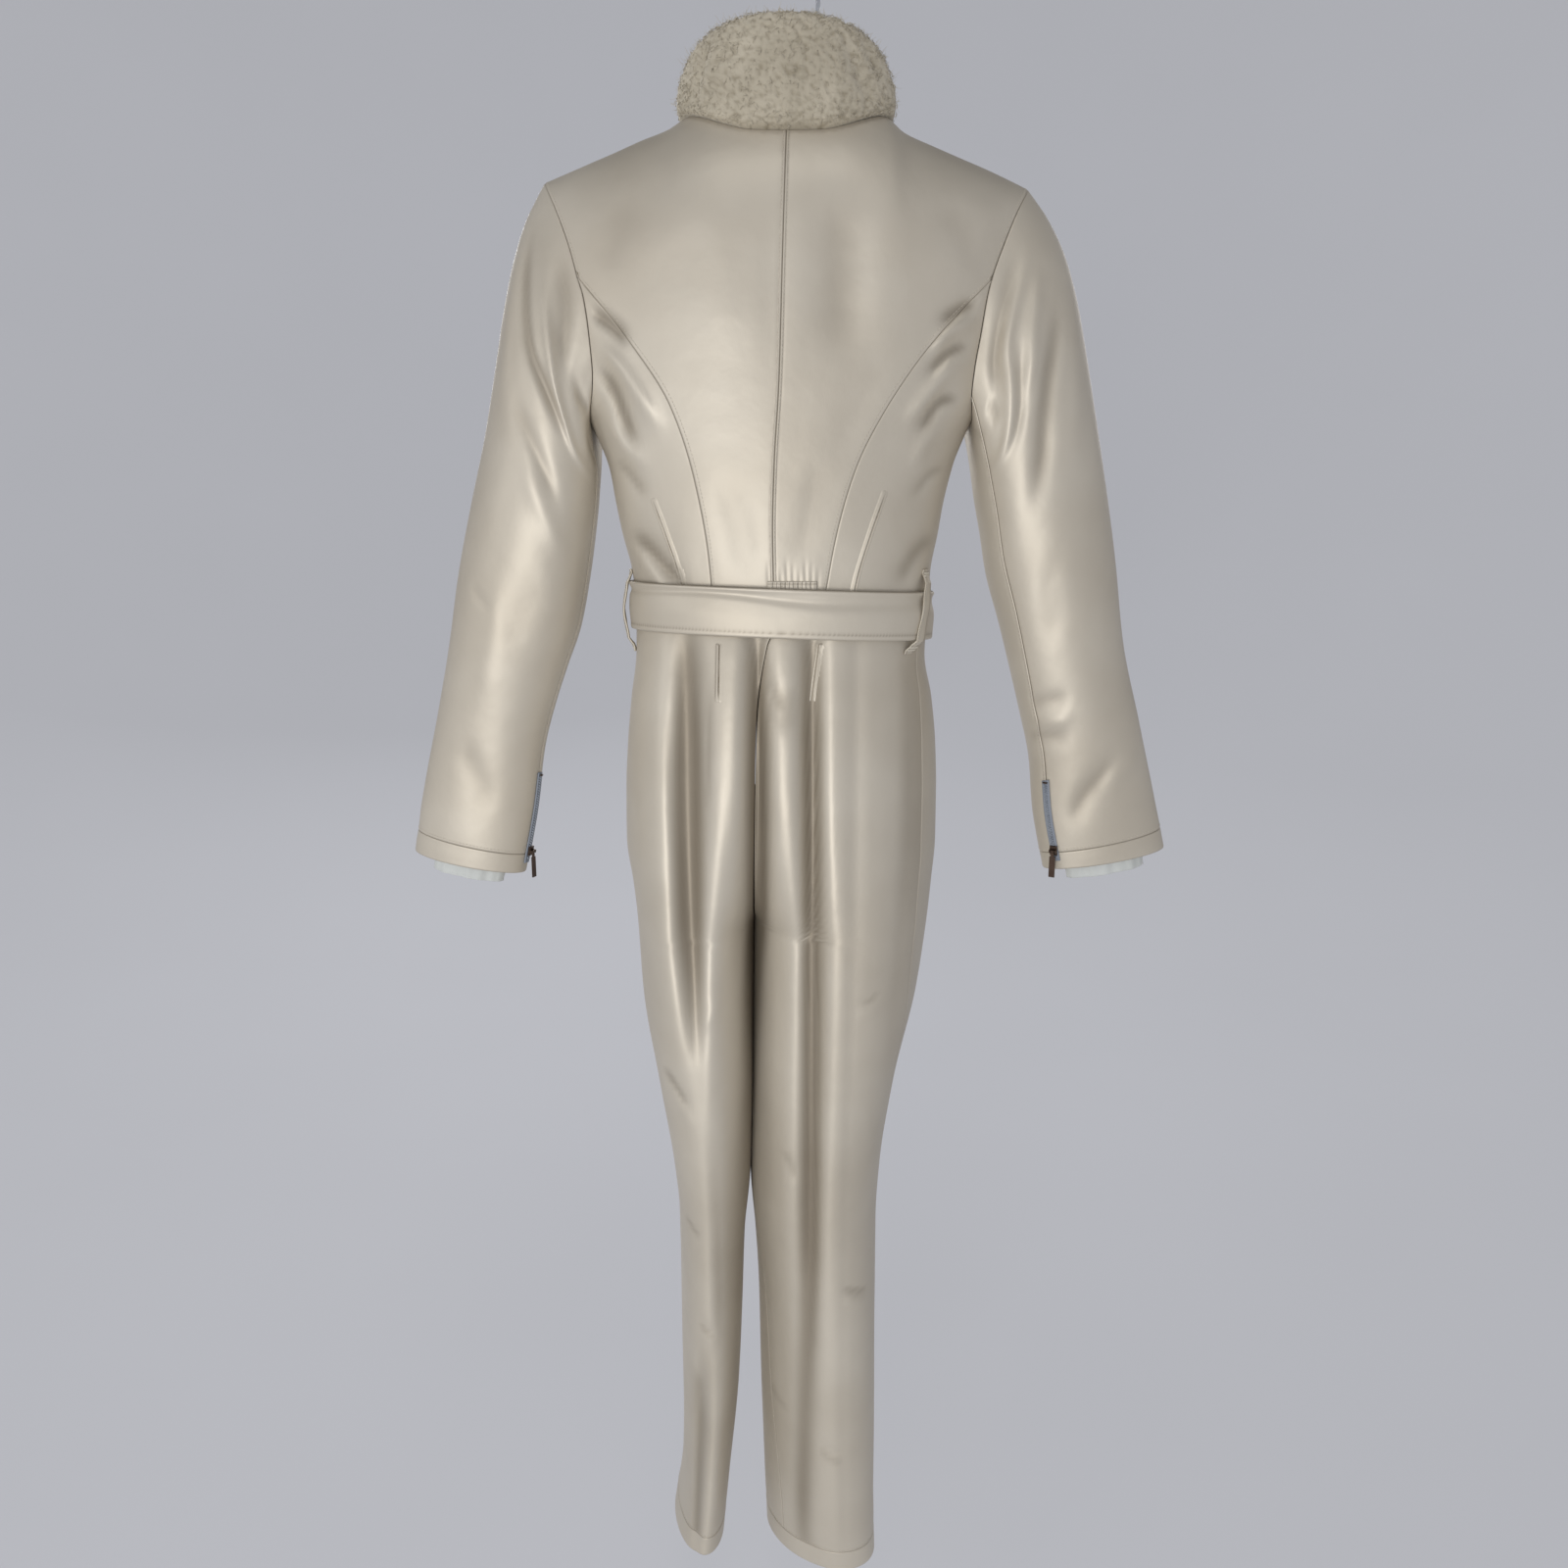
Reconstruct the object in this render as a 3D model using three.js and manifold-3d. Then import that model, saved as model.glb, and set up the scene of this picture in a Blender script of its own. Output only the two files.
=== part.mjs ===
import * as THREE from "three";
import { mergeVertices } from "three/addons/utils/BufferGeometryUtils.js";
import Module from "manifold-3d";

// Driving dimensions in millimetres. The origin is the inside of the hook's top, where a rod
// bears, +Z is up and -Y is the way the back of the suit faces. "drop" is the distance below it.
const clothWall = 1.8;
const seamGap = 0.3;
const sectionPower = 2.2;
const shoulderTip = { left: 160, right: 165 };
const neckPoint = 84;
const armpitDrop = 354;
const waistDrop = 519;
const crotchDrop = 805;
const shoulderRise = 110;
const zipWidth = 7;
const zipSide = 0.8;
const zipThick = 3;
const zipDepth = 2.2;
const frontZipEnd = 690;
const legHemHeight = 23;
const sleeveHemHeight = 19;
const sleeveRun = 690;
const beltWidth = 42;
const beltThick = 2.4;
const collarThick = 10;
const wireRadius = 1.85;
const hookRadius = 26;
const barRadius = 6;

const cream = { color: 0xd8cfc0, roughness: 0.45, metalness: 0 };
const pile = { color: 0xb4ab9b, roughness: 0.95, metalness: 0 };
const lycra = { color: 0xc9ccc8, roughness: 0.7, metalness: 0 };
const tape = { color: 0x8e949c, roughness: 0.6, metalness: 0.2 };
const bronze = { color: 0x5a4a40, roughness: 0.35, metalness: 0.9 };
const chrome = { color: 0xc8cacc, roughness: 0.2, metalness: 1 };
const plastic = { color: 0xe6e4de, roughness: 0.4, metalness: 0 };

// A smooth curve through values at rising keys that never overshoots its rows.
function curveThrough(keys, values) {
  const last = keys.length - 1;
  const slope = keys.slice(1).map((key, i) => (values[i + 1] - values[i]) / (key - keys[i]));
  const tangent = keys.map((key, i) => {
    if (i === 0) return slope[0];
    if (i === last) return slope[last - 1];
    const product = slope[i - 1] * slope[i];
    return product <= 0 ? 0 : (2 * product) / (slope[i - 1] + slope[i]);
  });
  return (at) => {
    const key = Math.min(Math.max(at, keys[0]), keys[last]);
    let i = 0;
    while (i < last - 1 && key > keys[i + 1]) i += 1;
    const span = keys[i + 1] - keys[i];
    const t = (key - keys[i]) / span;
    const rise = t * t * (3 - 2 * t);
    const leave = t * (1 - t) * (1 - t) * span * tangent[i];
    const arrive = t * t * (t - 1) * span * tangent[i + 1];
    return values[i] + (values[i + 1] - values[i]) * rise + leave + arrive;
  };
}

// A table whose first column is the key gives one curve for each other column.
function table(columns, rows) {
  const keys = rows.map((row) => row[0]);
  const curves = columns.slice(1).map((name, k) => {
    return [name, curveThrough(keys, rows.map((row) => row[k + 1]))];
  });
  return Object.fromEntries(curves);
}

// A seam through [across, drop] points, read at a share of its length.
function seamThrough(points) {
  const lengths = [0];
  points.slice(1).forEach((p, i) => {
    lengths.push(lengths[i] + Math.hypot(p[0] - points[i][0], p[1] - points[i][1]));
  });
  const whole = lengths[lengths.length - 1];
  const across = curveThrough(lengths, points.map((p) => p[0]));
  const drop = curveThrough(lengths, points.map((p) => p[1]));
  return (share) => [across(share * whole), drop(share * whole)];
}

const steps = (count) => Array.from({ length: count + 1 }, (_, i) => i / count);
const mix = (a, b, t) => a + (b - a) * t;

// The bodice: middle, half width and half depths of its section at each drop.
const bodice = table(
  ["drop", "middle", "half", "back", "front"],
  [
    [100, 0, 232, 60, 58],
    [134, 0, 230, 70, 66],
    [172, 0, 222, 76, 76],
    [229, -2, 204, 79, 86],
    [285, -4, 191, 80, 91],
    [330, -5, 178.5, 80, 90],
    [345, -5, 171.5, 80, 88],
    [354, -5, 167, 79, 87],
    [372, -5, 159, 79, 86],
    [391, -5, 152, 79, 84],
    [423, -6, 145.5, 78, 80],
    [449, -5.5, 141, 76, 77],
    [480, -4.5, 134.5, 72, 73],
    [497, -4, 133, 71, 72],
    [519, -4, 132, 71, 71],
  ],
);

// The shoulder ridge on each side, and above the neck hole its even run on.
const ridge = table(
  ["reach", "left", "right"],
  [
    [0, 100, 100],
    [60, 105, 105],
    [84, 111, 111],
    [98, 119.5, 122],
    [122, 128.5, 132],
    [145, 138, 141],
    [170, 147.5, 150.5],
    [204, 160, 165],
    [240, 174, 182],
  ],
);

// The armhole seam: how far out it lies at each drop.
const armhole = table(
  ["drop", "left", "right"],
  [
    [160, 204, 206],
    [165, 201.5, 204],
    [190, 190, 191],
    [219, 179, 178.5],
    [244, 172, 169.5],
    [259, 167.5, 166],
    [287, 164, 162],
    [315, 162.5, 158],
    [332, 164, 157],
    [345, 168, 159],
    [354, 172, 162],
  ],
);

// Princess seams of the back, from the armhole to the waist.
const princess = {
  left: [[172.3, 243], [128, 297], [95.7, 347], [77, 404], [66.2, 465], [62, waistDrop]],
  right: [[169.2, 245], [119.5, 297], [80, 353], [57.7, 397], [42.5, 449], [30, waistDrop]],
};
const neckBack = [[0, 134.5], [30, 133], [50, 127], [72, 116.5], [neckPoint, 111]];
const neckFront = [[zipWidth / 2 + zipSide, 152], [30, 148], [55, 137], [74, 122], [neckPoint, 111]];
const centreBack = curveThrough([134, 229, 328, 394, 449, waistDrop], [0, -3, -6, -10, -11.5, -10]);

// Creases of the bodice back: two ends, half width and depth, ridges out and troughs in.
const bodiceFolds = [
  // across, drop, across, drop, half width, depth
  [-150, 300, -108, 372, 12, 3],
  [-160, 322, -118, 402, 9, -4],
  [-150, 372, -112, 430, 10, 3],
  [140, 285, 98, 352, 11, 3],
  [148, 315, 92, 388, 9, -4],
  [138, 350, 84, 425, 10, 3],
  [36, 180, 44, 300, 22, -3],
];

// The depth that the creases of a table add at a place.
function foldDepth(folds, across, drop) {
  let sum = 0;
  for (const [ax, ad, bx, bd, half, depth] of folds) {
    const run = Math.hypot(bx - ax, bd - ad);
    const along = ((across - ax) * (bx - ax) + (drop - ad) * (bd - ad)) / run;
    const off = ((across - ax) * (bd - ad) - (drop - ad) * (bx - ax)) / run;
    const ease = Math.min(Math.max(Math.min(along, run - along) / half + 1, 0), 1);
    sum += depth * Math.exp(-((off / half) ** 2)) * ease * ease * (3 - 2 * ease);
  }
  return sum;
}

// The bodice's angle from its middle for a place across it.
function bodiceAngle(across, drop) {
  const share = (across - bodice.middle(drop)) / bodice.half(drop);
  const grown = Math.min(Math.abs(share), 1) ** (sectionPower / 2);
  return Math.sign(share) * Math.asin(grown);
}

// A point of the bodice's outer face, on the back (way -1) or the front (way 1).
function bodicePoint(angle, drop, way) {
  const reach = Math.abs(Math.sin(angle)) ** (2 / sectionPower);
  const across = bodice.middle(drop) + bodice.half(drop) * Math.sign(angle) * reach;
  const side = across < 0 ? ridge.left : ridge.right;
  const below = Math.min(Math.max((drop - side(Math.abs(across))) / shoulderRise, 0), 1);
  const arch = Math.sqrt(1 - (1 - below) ** 2);
  const depth = way < 0 ? bodice.back(drop) : bodice.front(drop);
  const round = Math.max(Math.cos(angle), 0) ** (2 / sectionPower);
  const fold = way < 0 ? foldDepth(bodiceFolds, across, drop) : 0;
  return new THREE.Vector3(across, way * (depth + fold) * arch * round, -drop);
}

// A patch between four edges: each inner place blends the four edges' own places.
function patch(top, bottom, first, last) {
  const rows = first.length - 1;
  const columns = top.length - 1;
  return first.map((start, i) => {
    const v = i / rows;
    return top.map((_, j) => {
      const u = j / columns;
      return [0, 1].map((k) => {
        const between = mix(top[j][k], bottom[j][k], v) + mix(start[k], last[i][k], u);
        const corners = mix(
          mix(top[0][k], top[columns][k], u),
          mix(bottom[0][k], bottom[columns][k], u),
          v,
        );
        return between - corners;
      });
    });
  });
}

// The cloth panels wait here until all are known, so that neighbours share their seams' slant.
const panels = [];
const suit = new THREE.Group();

function addMesh(name, geometry, look) {
  const mesh = new THREE.Mesh(geometry, new THREE.MeshStandardMaterial(look));
  mesh.name = name;
  suit.add(mesh);
  return mesh;
}

// A closed wall between an outer and an inner grid of points; round grids close on themselves.
function wallGeometry(outer, inner, round) {
  const rows = outer.length;
  const columns = outer[0].length;
  const spans = round ? columns : columns - 1;
  const points = [...outer.flat(), ...inner.flat()];
  const outerAt = (i, j) => i * columns + (j % columns);
  const innerAt = (i, j) => rows * columns + outerAt(i, j);
  const faces = [];
  const quad = (a, b, c, d) => faces.push(a, b, c, a, c, d);
  for (let i = 0; i < rows - 1; i += 1) {
    for (let j = 0; j < spans; j += 1) {
      quad(outerAt(i, j), outerAt(i + 1, j), outerAt(i + 1, j + 1), outerAt(i, j + 1));
      quad(innerAt(i, j), innerAt(i, j + 1), innerAt(i + 1, j + 1), innerAt(i + 1, j));
    }
    if (!round) {
      quad(outerAt(i, 0), innerAt(i, 0), innerAt(i + 1, 0), outerAt(i + 1, 0));
      const [low, high] = [outerAt(i, spans), outerAt(i + 1, spans)];
      quad(high, innerAt(i + 1, spans), innerAt(i, spans), low);
    }
  }
  for (let j = 0; j < spans; j += 1) {
    const end = rows - 1;
    quad(outerAt(0, j + 1), innerAt(0, j + 1), innerAt(0, j), outerAt(0, j));
    quad(outerAt(end, j), innerAt(end, j), innerAt(end, j + 1), outerAt(end, j + 1));
  }
  let volume = 0;
  for (let f = 0; f < faces.length; f += 3) {
    const [a, b, c] = [points[faces[f]], points[faces[f + 1]], points[faces[f + 2]]];
    volume += a.dot(new THREE.Vector3().crossVectors(b, c));
  }
  if (volume < 0) faces.reverse();
  const geometry = new THREE.BufferGeometry().setFromPoints(points);
  geometry.setIndex(faces);
  geometry.computeVertexNormals();
  return geometry;
}

const keyOf = (p) => [p.x, p.y, p.z].map((v) => Math.round(v * 50)).join(" ");
const slants = new Map();

// Adds each cell's slant, turned away from the inside line, to its corners.
function noteSlants(panel) {
  const { grid, round, inside, family = "body" } = panel;
  const columns = grid[0].length;
  for (let i = 0; i < grid.length - 1; i += 1) {
    for (let j = 0; j < (round ? columns : columns - 1); j += 1) {
      const [a, b] = [grid[i][j], grid[i][(j + 1) % columns]];
      const [c, d] = [grid[i + 1][j], grid[i + 1][(j + 1) % columns]];
      const slant = new THREE.Vector3().crossVectors(d.clone().sub(a), c.clone().sub(b));
      const middle = a.clone().add(d).multiplyScalar(0.5);
      if (slant.dot(middle.sub(inside(a.z))) < 0) slant.negate();
      for (const corner of [a, b, c, d]) {
        const key = keyOf(corner);
        if (!slants.has(key)) slants.set(key, {});
        const known = slants.get(key);
        known[family] = (known[family] ?? new THREE.Vector3()).add(slant);
      }
    }
  }
}

// The slant at a corner. Where a sleeve meets the body it is shared, unless they lie back to back.
function slantAt(point, family = "body") {
  const known = slants.get(keyOf(point));
  const own = known[family].clone().normalize();
  for (const [name, other] of Object.entries(known)) {
    const unit = other.clone().normalize();
    if (name !== family && unit.dot(known[family].clone().normalize()) > 0.1) own.add(unit);
  }
  return own.normalize();
}

// Moves a grid's seam edges inwards along the cloth by half a seam gap, or as told.
function trimEdges(outer, inner, trims) {
  const rows = outer.length - 1;
  const columns = outer[0].length - 1;
  const move = (i, j, ni, nj, by) => {
    const way = outer[ni][nj].clone().sub(outer[i][j]).setLength(by);
    return () => [outer, inner].forEach((grid) => grid[i][j].add(way));
  };
  const moves = [];
  for (let i = 0; i <= rows; i += 1) {
    if (trims.first) moves.push(move(i, 0, i, 1, trims.first));
    if (trims.last) moves.push(move(i, columns, i, columns - 1, trims.last));
  }
  for (let j = 0; j <= columns; j += 1) {
    if (trims.top) moves.push(move(0, j, 1, j, trims.top));
    if (trims.bottom) moves.push(move(rows, j, rows - 1, j, trims.bottom));
  }
  moves.forEach((apply) => apply());
}

const half = seamGap / 2;
const bodiceInside = (z) => new THREE.Vector3(bodice.middle(-z), 0, Math.min(z, -waistDrop / 2));
const sideSign = { left: -1, right: 1 };
const armTopSteps = 4;
const armLowSteps = 5;
const sideSteps = 6;
const neckSteps = 3;
const shoulderSteps = 4;
const sideBackSteps = 4;
const armSteps = armTopSteps + armLowSteps;

// The armhole in [angle, drop] places from the shoulder tip to the armpit.
function armholePlaces(side, way) {
  return steps(armSteps).map((share) => {
    const down = (1 - Math.cos(share * Math.PI)) / 2;
    const drop = mix(shoulderTip[side], armpitDrop, down);
    if (share === 1) return [(sideSign[side] * Math.PI) / 2, armpitDrop];
    const scoop = way > 0 ? 7 * Math.sin(share * Math.PI) ** 2 : 0;
    return [bodiceAngle(sideSign[side] * (armhole[side](drop) - scoop), drop), drop];
  });
}

function sidePlaces(side) {
  return steps(sideSteps).map((t) => [(sideSign[side] * Math.PI) / 2, mix(armpitDrop, waistDrop, t)]);
}

const toAngle = (side) => ([across, drop]) => [bodiceAngle(sideSign[side] * across, drop), drop];

function topPlaces(side, neck) {
  const neckPart = steps(neckSteps).map(seamThrough(neck)).map(toAngle(side));
  const shoulderPart = steps(shoulderSteps).slice(1).map((t) => {
    const reach = mix(neckPoint, armhole[side](shoulderTip[side]), t);
    return toAngle(side)([reach, ridge[side](reach)]);
  });
  return [...neckPart, ...shoulderPart];
}

// Places down a line, spaced as the rows of the opposite edge are.
function matchRows(edge, way, lineAt, topDrop) {
  const lengths = [0];
  const points = edge.map(([angle, drop]) => bodicePoint(angle, drop, way));
  points.slice(1).forEach((p, i) => lengths.push(lengths[i] + p.distanceTo(points[i])));
  return lengths.map((length) => {
    const drop = mix(topDrop, waistDrop, length / lengths[lengths.length - 1]);
    return [lineAt(drop), drop];
  });
}

function waistPlaces(from, to, count) {
  return steps(count).map((t) => [mix(from, to, t), waistDrop]);
}

for (const side of ["left", "right"]) {
  const sign = sideSign[side];
  const columns = neckSteps + shoulderSteps;
  const backArm = armholePlaces(side, -1);
  const backTop = topPlaces(side, neckBack);
  backTop[0] = [bodiceAngle(centreBack(neckBack[0][1]), neckBack[0][1]), neckBack[0][1]];
  backTop[columns] = backArm[0];
  const junction = backArm[armTopSteps];
  const seam = steps(armLowSteps + sideSteps).map(seamThrough(princess[side])).map(toAngle(side));
  seam[0] = junction;
  const backOuter = [...backArm.slice(0, armTopSteps), ...seam];
  const backLine = (drop) => bodiceAngle(centreBack(drop), drop);
  const backInner = matchRows(backOuter, -1, backLine, neckBack[0][1]);
  const backWaist = waistPlaces(backLine(waistDrop), seam[seam.length - 1][0], columns);
  const backPlaces = patch(backTop, backWaist, backInner, backOuter);
  panels.push({
    name: `back_${side}`,
    grid: backPlaces.map((row) => row.map(([angle, drop]) => bodicePoint(angle, drop, -1))),
    inside: bodiceInside,
    trims: { top: half, bottom: seamGap, first: half, last: half },
  });

  const sideOuter = [...backArm.slice(armTopSteps), ...sidePlaces(side).slice(1)];
  const tip = 0.32;
  const nearTip = (edge) => [0, 1].map((k) => mix(edge[0][k], edge[1][k], tip));
  const sideFirst = [nearTip(seam), ...seam.slice(1)];
  const sideLast = [nearTip(sideOuter), ...sideOuter.slice(1)];
  const sideTop = steps(sideBackSteps).map((t) => {
    return [0, 1].map((k) => mix(sideFirst[0][k], sideLast[0][k], t));
  });
  const sideWaist = waistPlaces(seam[seam.length - 1][0], (sign * Math.PI) / 2, sideBackSteps);
  const sideBack = patch(sideTop, sideWaist, sideFirst, sideLast);
  panels.push({
    name: `side_back_${side}`,
    grid: sideBack.map((row) => row.map(([angle, drop]) => bodicePoint(angle, drop, -1))),
    inside: bodiceInside,
    trims: { bottom: seamGap, first: seamGap, last: half },
  });

  const frontArm = armholePlaces(side, 1);
  const frontTop = topPlaces(side, neckFront);
  frontTop[columns] = frontArm[0];
  const frontOuter = [...frontArm, ...sidePlaces(side).slice(1)];
  const zipEdge = zipWidth / 2 + zipSide;
  const frontLine = (drop) => bodiceAngle(bodice.middle(drop) + sign * zipEdge, drop);
  const frontInner = matchRows(frontOuter, 1, frontLine, neckFront[0][1]);
  frontTop[0] = frontInner[0];
  const frontWaist = waistPlaces(frontLine(waistDrop), (sign * Math.PI) / 2, columns);
  const frontPlaces = patch(frontTop, frontWaist, frontInner, frontOuter);
  panels.push({
    name: `front_${side}`,
    grid: frontPlaces.map((row) => row.map(([angle, drop]) => bodicePoint(angle, drop, 1))),
    inside: bodiceInside,
    trims: { top: half, bottom: seamGap, last: half },
  });
}

// Sleeves: the outer and inner edge of each ring, its half depth and where its middle lies.
const sleeveColumns = ["share", "outerX", "outerDrop", "innerX", "innerDrop", "depth", "middleY"];
const sleeves = {
  left: table(sleeveColumns, [
    [0, 204, 160, 172, 354, 50, 0],
    [0.05, 221, 187, 170.5, 371, 52, 0],
    [0.12, 232, 217, 167, 397, 53, 0],
    [0.2, 241, 252, 168.5, 420, 53, 1],
    [0.3, 252, 304, 173.5, 455, 52, 2],
    [0.4, 265, 360, 180, 492, 50, 3],
    [0.5, 281, 420, 189.5, 534, 48, 4],
    [0.6, 296, 482, 202, 567, 44, 5],
    [0.7, 309, 545, 215, 603, 40, 6],
    [0.8, 324, 608, 227, 645, 35, 6],
    [0.9, 339, 670, 236, 700, 30, 6],
    [1, 355, 744, 250.5, 766, 26, 6],
  ]),
  right: table(sleeveColumns, [
    [0, 204, 165, 162, 354, 50, 0],
    [0.05, 222, 188, 162.5, 369, 52, 0],
    [0.12, 236, 214, 165, 392, 53, 0],
    [0.2, 248, 248, 169, 417, 53, 1],
    [0.3, 260, 295, 175.5, 447, 52, 2],
    [0.4, 271, 343, 182.5, 484, 50, 3],
    [0.5, 284, 405, 196, 529, 48, 4],
    [0.6, 298, 475, 207, 569, 44, 5],
    [0.7, 311, 550, 218.5, 613, 40, 6],
    [0.8, 329, 617, 228.5, 655, 35, 6],
    [0.9, 344, 672, 234, 704, 30, 6],
    [1, 361.5, 741, 247, 762, 26, 6],
  ]),
};

// Creases of each sleeve: angle round from the outer edge over the back, share along, depth.
const sleeveFolds = [
  // angle, share, angle, share, half width in degrees, depth
  [70, 0.03, 128, 0.34, 13, 3.5],
  [112, 0.0, 150, 0.24, 9, -4],
  [34, 0.05, 60, 0.5, 15, -2.5],
  [140, 0.42, 100, 0.62, 12, 2],
  [60, 0.78, 110, 0.9, 12, -2],
  [300, 0.03, 240, 0.34, 13, 3.5],
  [262, 0.02, 222, 0.24, 9, -4],
];
const sleeveFoldScale = 400;
const sleeveCreases = sleeveFolds.map(([a, s, b, t, width, depth]) => {
  return [a, s * sleeveFoldScale, b, t * sleeveFoldScale, width, depth];
});

function sleeveEllipse(side, share, angle) {
  const ring = sleeves[side];
  const sign = sideSign[side];
  const outerX = sign * ring.outerX(share);
  const innerX = sign * ring.innerX(share);
  const along = (1 - Math.cos(angle)) / 2;
  const degrees = (angle * 180) / Math.PI;
  const scaled = foldDepth(sleeveCreases, degrees, share * sleeveFoldScale);
  return new THREE.Vector3(
    mix(outerX, innerX, along),
    ring.middleY(share) - (ring.depth(share) + scaled) * Math.sin(angle),
    -mix(ring.outerDrop(share), ring.innerDrop(share), along),
  );
}

// The armhole's own loop, whose difference from the first ring fades out down the sleeve.
const headFade = 0.24;
function sleevePoint(side, share, index, count, loop) {
  const angle = (index / count) * 2 * Math.PI;
  const point = sleeveEllipse(side, share, angle);
  if (share >= headFade) return point;
  const keep = (1 - share / headFade) ** 2;
  const off = loop[index].clone().sub(sleeveEllipse(side, 0, angle));
  return point.add(off.multiplyScalar(keep));
}

function sleeveLoop(side) {
  const back = armholePlaces(side, -1).map(([angle, drop]) => bodicePoint(angle, drop, -1));
  const front = armholePlaces(side, 1).map(([angle, drop]) => bodicePoint(angle, drop, 1));
  return [...back, ...front.slice(1, armSteps).reverse()];
}

const sleeveRows = [0, 0.03, 0.07, 0.12, 0.18, 0.25, 0.33, 0.42, 0.52, 0.62, 0.72, 0.81, 0.89];
const sleeveHemStart = 1 - sleeveHemHeight / sleeveRun;
const sleeveCount = 2 * armSteps;
const aroundSleeve = Array.from({ length: sleeveCount }, (_, j) => j);
function sleeveInside(side) {
  return (z) => {
    const ring = sleeves[side];
    const share = Math.min(Math.max((-z - 260) / 500, 0.02), 1);
    const across = (ring.outerX(share) + ring.innerX(share)) / 2;
    return new THREE.Vector3(sideSign[side] * across, 4, z);
  };
}

for (const side of ["left", "right"]) {
  const loop = sleeveLoop(side);
  const ringAt = (share) => aroundSleeve.map((j) => sleevePoint(side, share, j, sleeveCount, loop));
  panels.push({
    name: `sleeve_${side}`,
    grid: [...sleeveRows, (sleeveRows.at(-1) + sleeveHemStart) / 2, sleeveHemStart].map(ringAt),
    round: true,
    inside: sleeveInside(side),
    family: "sleeve",
    trims: { top: seamGap },
  });
  panels.push({
    name: `sleeve_hem_${side}`,
    grid: [sleeveHemStart + seamGap / sleeveRun, (1 + sleeveHemStart) / 2, 1].map(ringAt),
    round: true,
    inside: sleeveInside(side),
    family: "sleeve",
    wall: 2.2,
    trims: {},
  });
}

// Trousers: the outer edge of each leg, the half depth and the turn of its section. Above the
// crotch "past" says how far a leg's own section reaches over the middle, as a share.
const seat = table(
  ["drop", "middle", "past", "depth"],
  [
    [519, -4, 1, 71],
    [545, -17, 0.98, 75],
    [600, -25, 0.85, 83],
    [660, -27, 0.66, 89],
    [710, -28, 0.46, 92],
    [750, -29, 0.27, 93],
    [785, -30, 0.09, 94],
    [805, -30, 0, 94],
    [900, -31, 0, 93],
    [966, -33, 0, 90],
    [1065, -35.5, 0, 86],
  ],
);
const legColumns = ["drop", "outer", "inner", "depth", "turn", "middleY"];
const legs = {
  left: table(legColumns, [
    [519, 136, 0, 71, 0, 0],
    [555, 137, 0, 76, 0, 0],
    [595, 142.5, 0, 82, 0, 0],
    [637, 147, 0, 87, 0, 0],
    [680, 149.5, 0, 91, 0, 0],
    [727, 150, 0, 93, 0, 0],
    [769, 144.5, 0, 94, 0, 0],
    [805, 141, 30, 94, 0, 0],
    [875, 138, 32, 96, 1, 0],
    [966, 126, 34, 94, 2, 0],
    [1052, 114.5, 36.5, 90, 3, 0],
    [1114, 110, 40.5, 87, 4, 0],
    [1210, 108.5, 44, 84, 5, 0],
    [1304, 109, 49, 81, 6, 0],
    [1409, 111.5, 59, 78, 8, -5],
    [1485, 122, 65, 76, 9, -8],
  ]),
  right: table(legColumns, [
    [519, 128, 0, 71, 0, 0],
    [555, 127, 0, 76, 0, 0],
    [595, 134.5, 0, 82, 0, 0],
    [637, 139, 0, 87, 0, 0],
    [680, 140.5, 0, 91, 0, 0],
    [727, 140.5, 0, 93, 0, 0],
    [769, 137.5, 0, 94, 0, 0],
    [805, 134.5, 30, 94, 0, 0],
    [875, 126, 31, 93, 4, 0],
    [966, 106, 32, 89, 9, -2],
    [1052, 93, 34.5, 84, 14, -5],
    [1114, 89.5, 33, 80, 18, -8],
    [1210, 89.5, 28.5, 77, 23, -11],
    [1304, 90, 27, 74, 28, -14],
    [1409, 89.5, 23.5, 71, 34, -18],
    [1498, 93, 21, 70, 38, -20],
  ]),
};
const legHem = {
  left: { drop: 1484, tilt: 0.28 },
  right: { drop: 1496, tilt: 0.2 },
};
const tiltStart = 1000;
const legGap = 0.5;

// Folds down the trousers: two ends as [across, drop], half width and depth.
const backFolds = [
  [-122, 568, -118, 860, 13, 4],
  [-90, 572, -84, 1000, 17, -9],
  [-54, 570, -56, 1030, 14, 5],
  [-4, 568, -2, 1100, 13, 4],
  [22, 560, 22, 1360, 10, -6],
  [50, 572, 44, 1250, 15, 4],
  [-80, 1120, -92, 1400, 9, -5],
];
const frontFolds = [
  [-104, 600, -92, 1010, 16, -7],
  [-62, 640, -66, 1080, 15, 5],
  [38, 640, 30, 1180, 14, -6],
  [84, 600, 66, 1040, 15, 4],
];

// The half width that a leg's section needs to reach its outline at its depth and turn.
function legSection(side, drop) {
  const sign = sideSign[side];
  const rows = legs[side];
  const outer = sign * rows.outer(drop);
  const middle = seat.middle(drop);
  const above = drop < crotchDrop;
  const inner = above
    ? middle + (middle - outer) * seat.past(drop)
    : -rows.inner(drop) + sign * legGap;
  const reach = Math.abs(outer - inner) / 2;
  const turn = (rows.turn(drop) * Math.PI) / 180;
  const deep = rows.depth(drop);
  const wide = Math.sqrt(reach ** 2 - (deep * Math.sin(turn)) ** 2) / Math.cos(turn);
  return { sign, middle, above, centre: (outer + inner) / 2, wide, deep, turn, rows };
}

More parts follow.
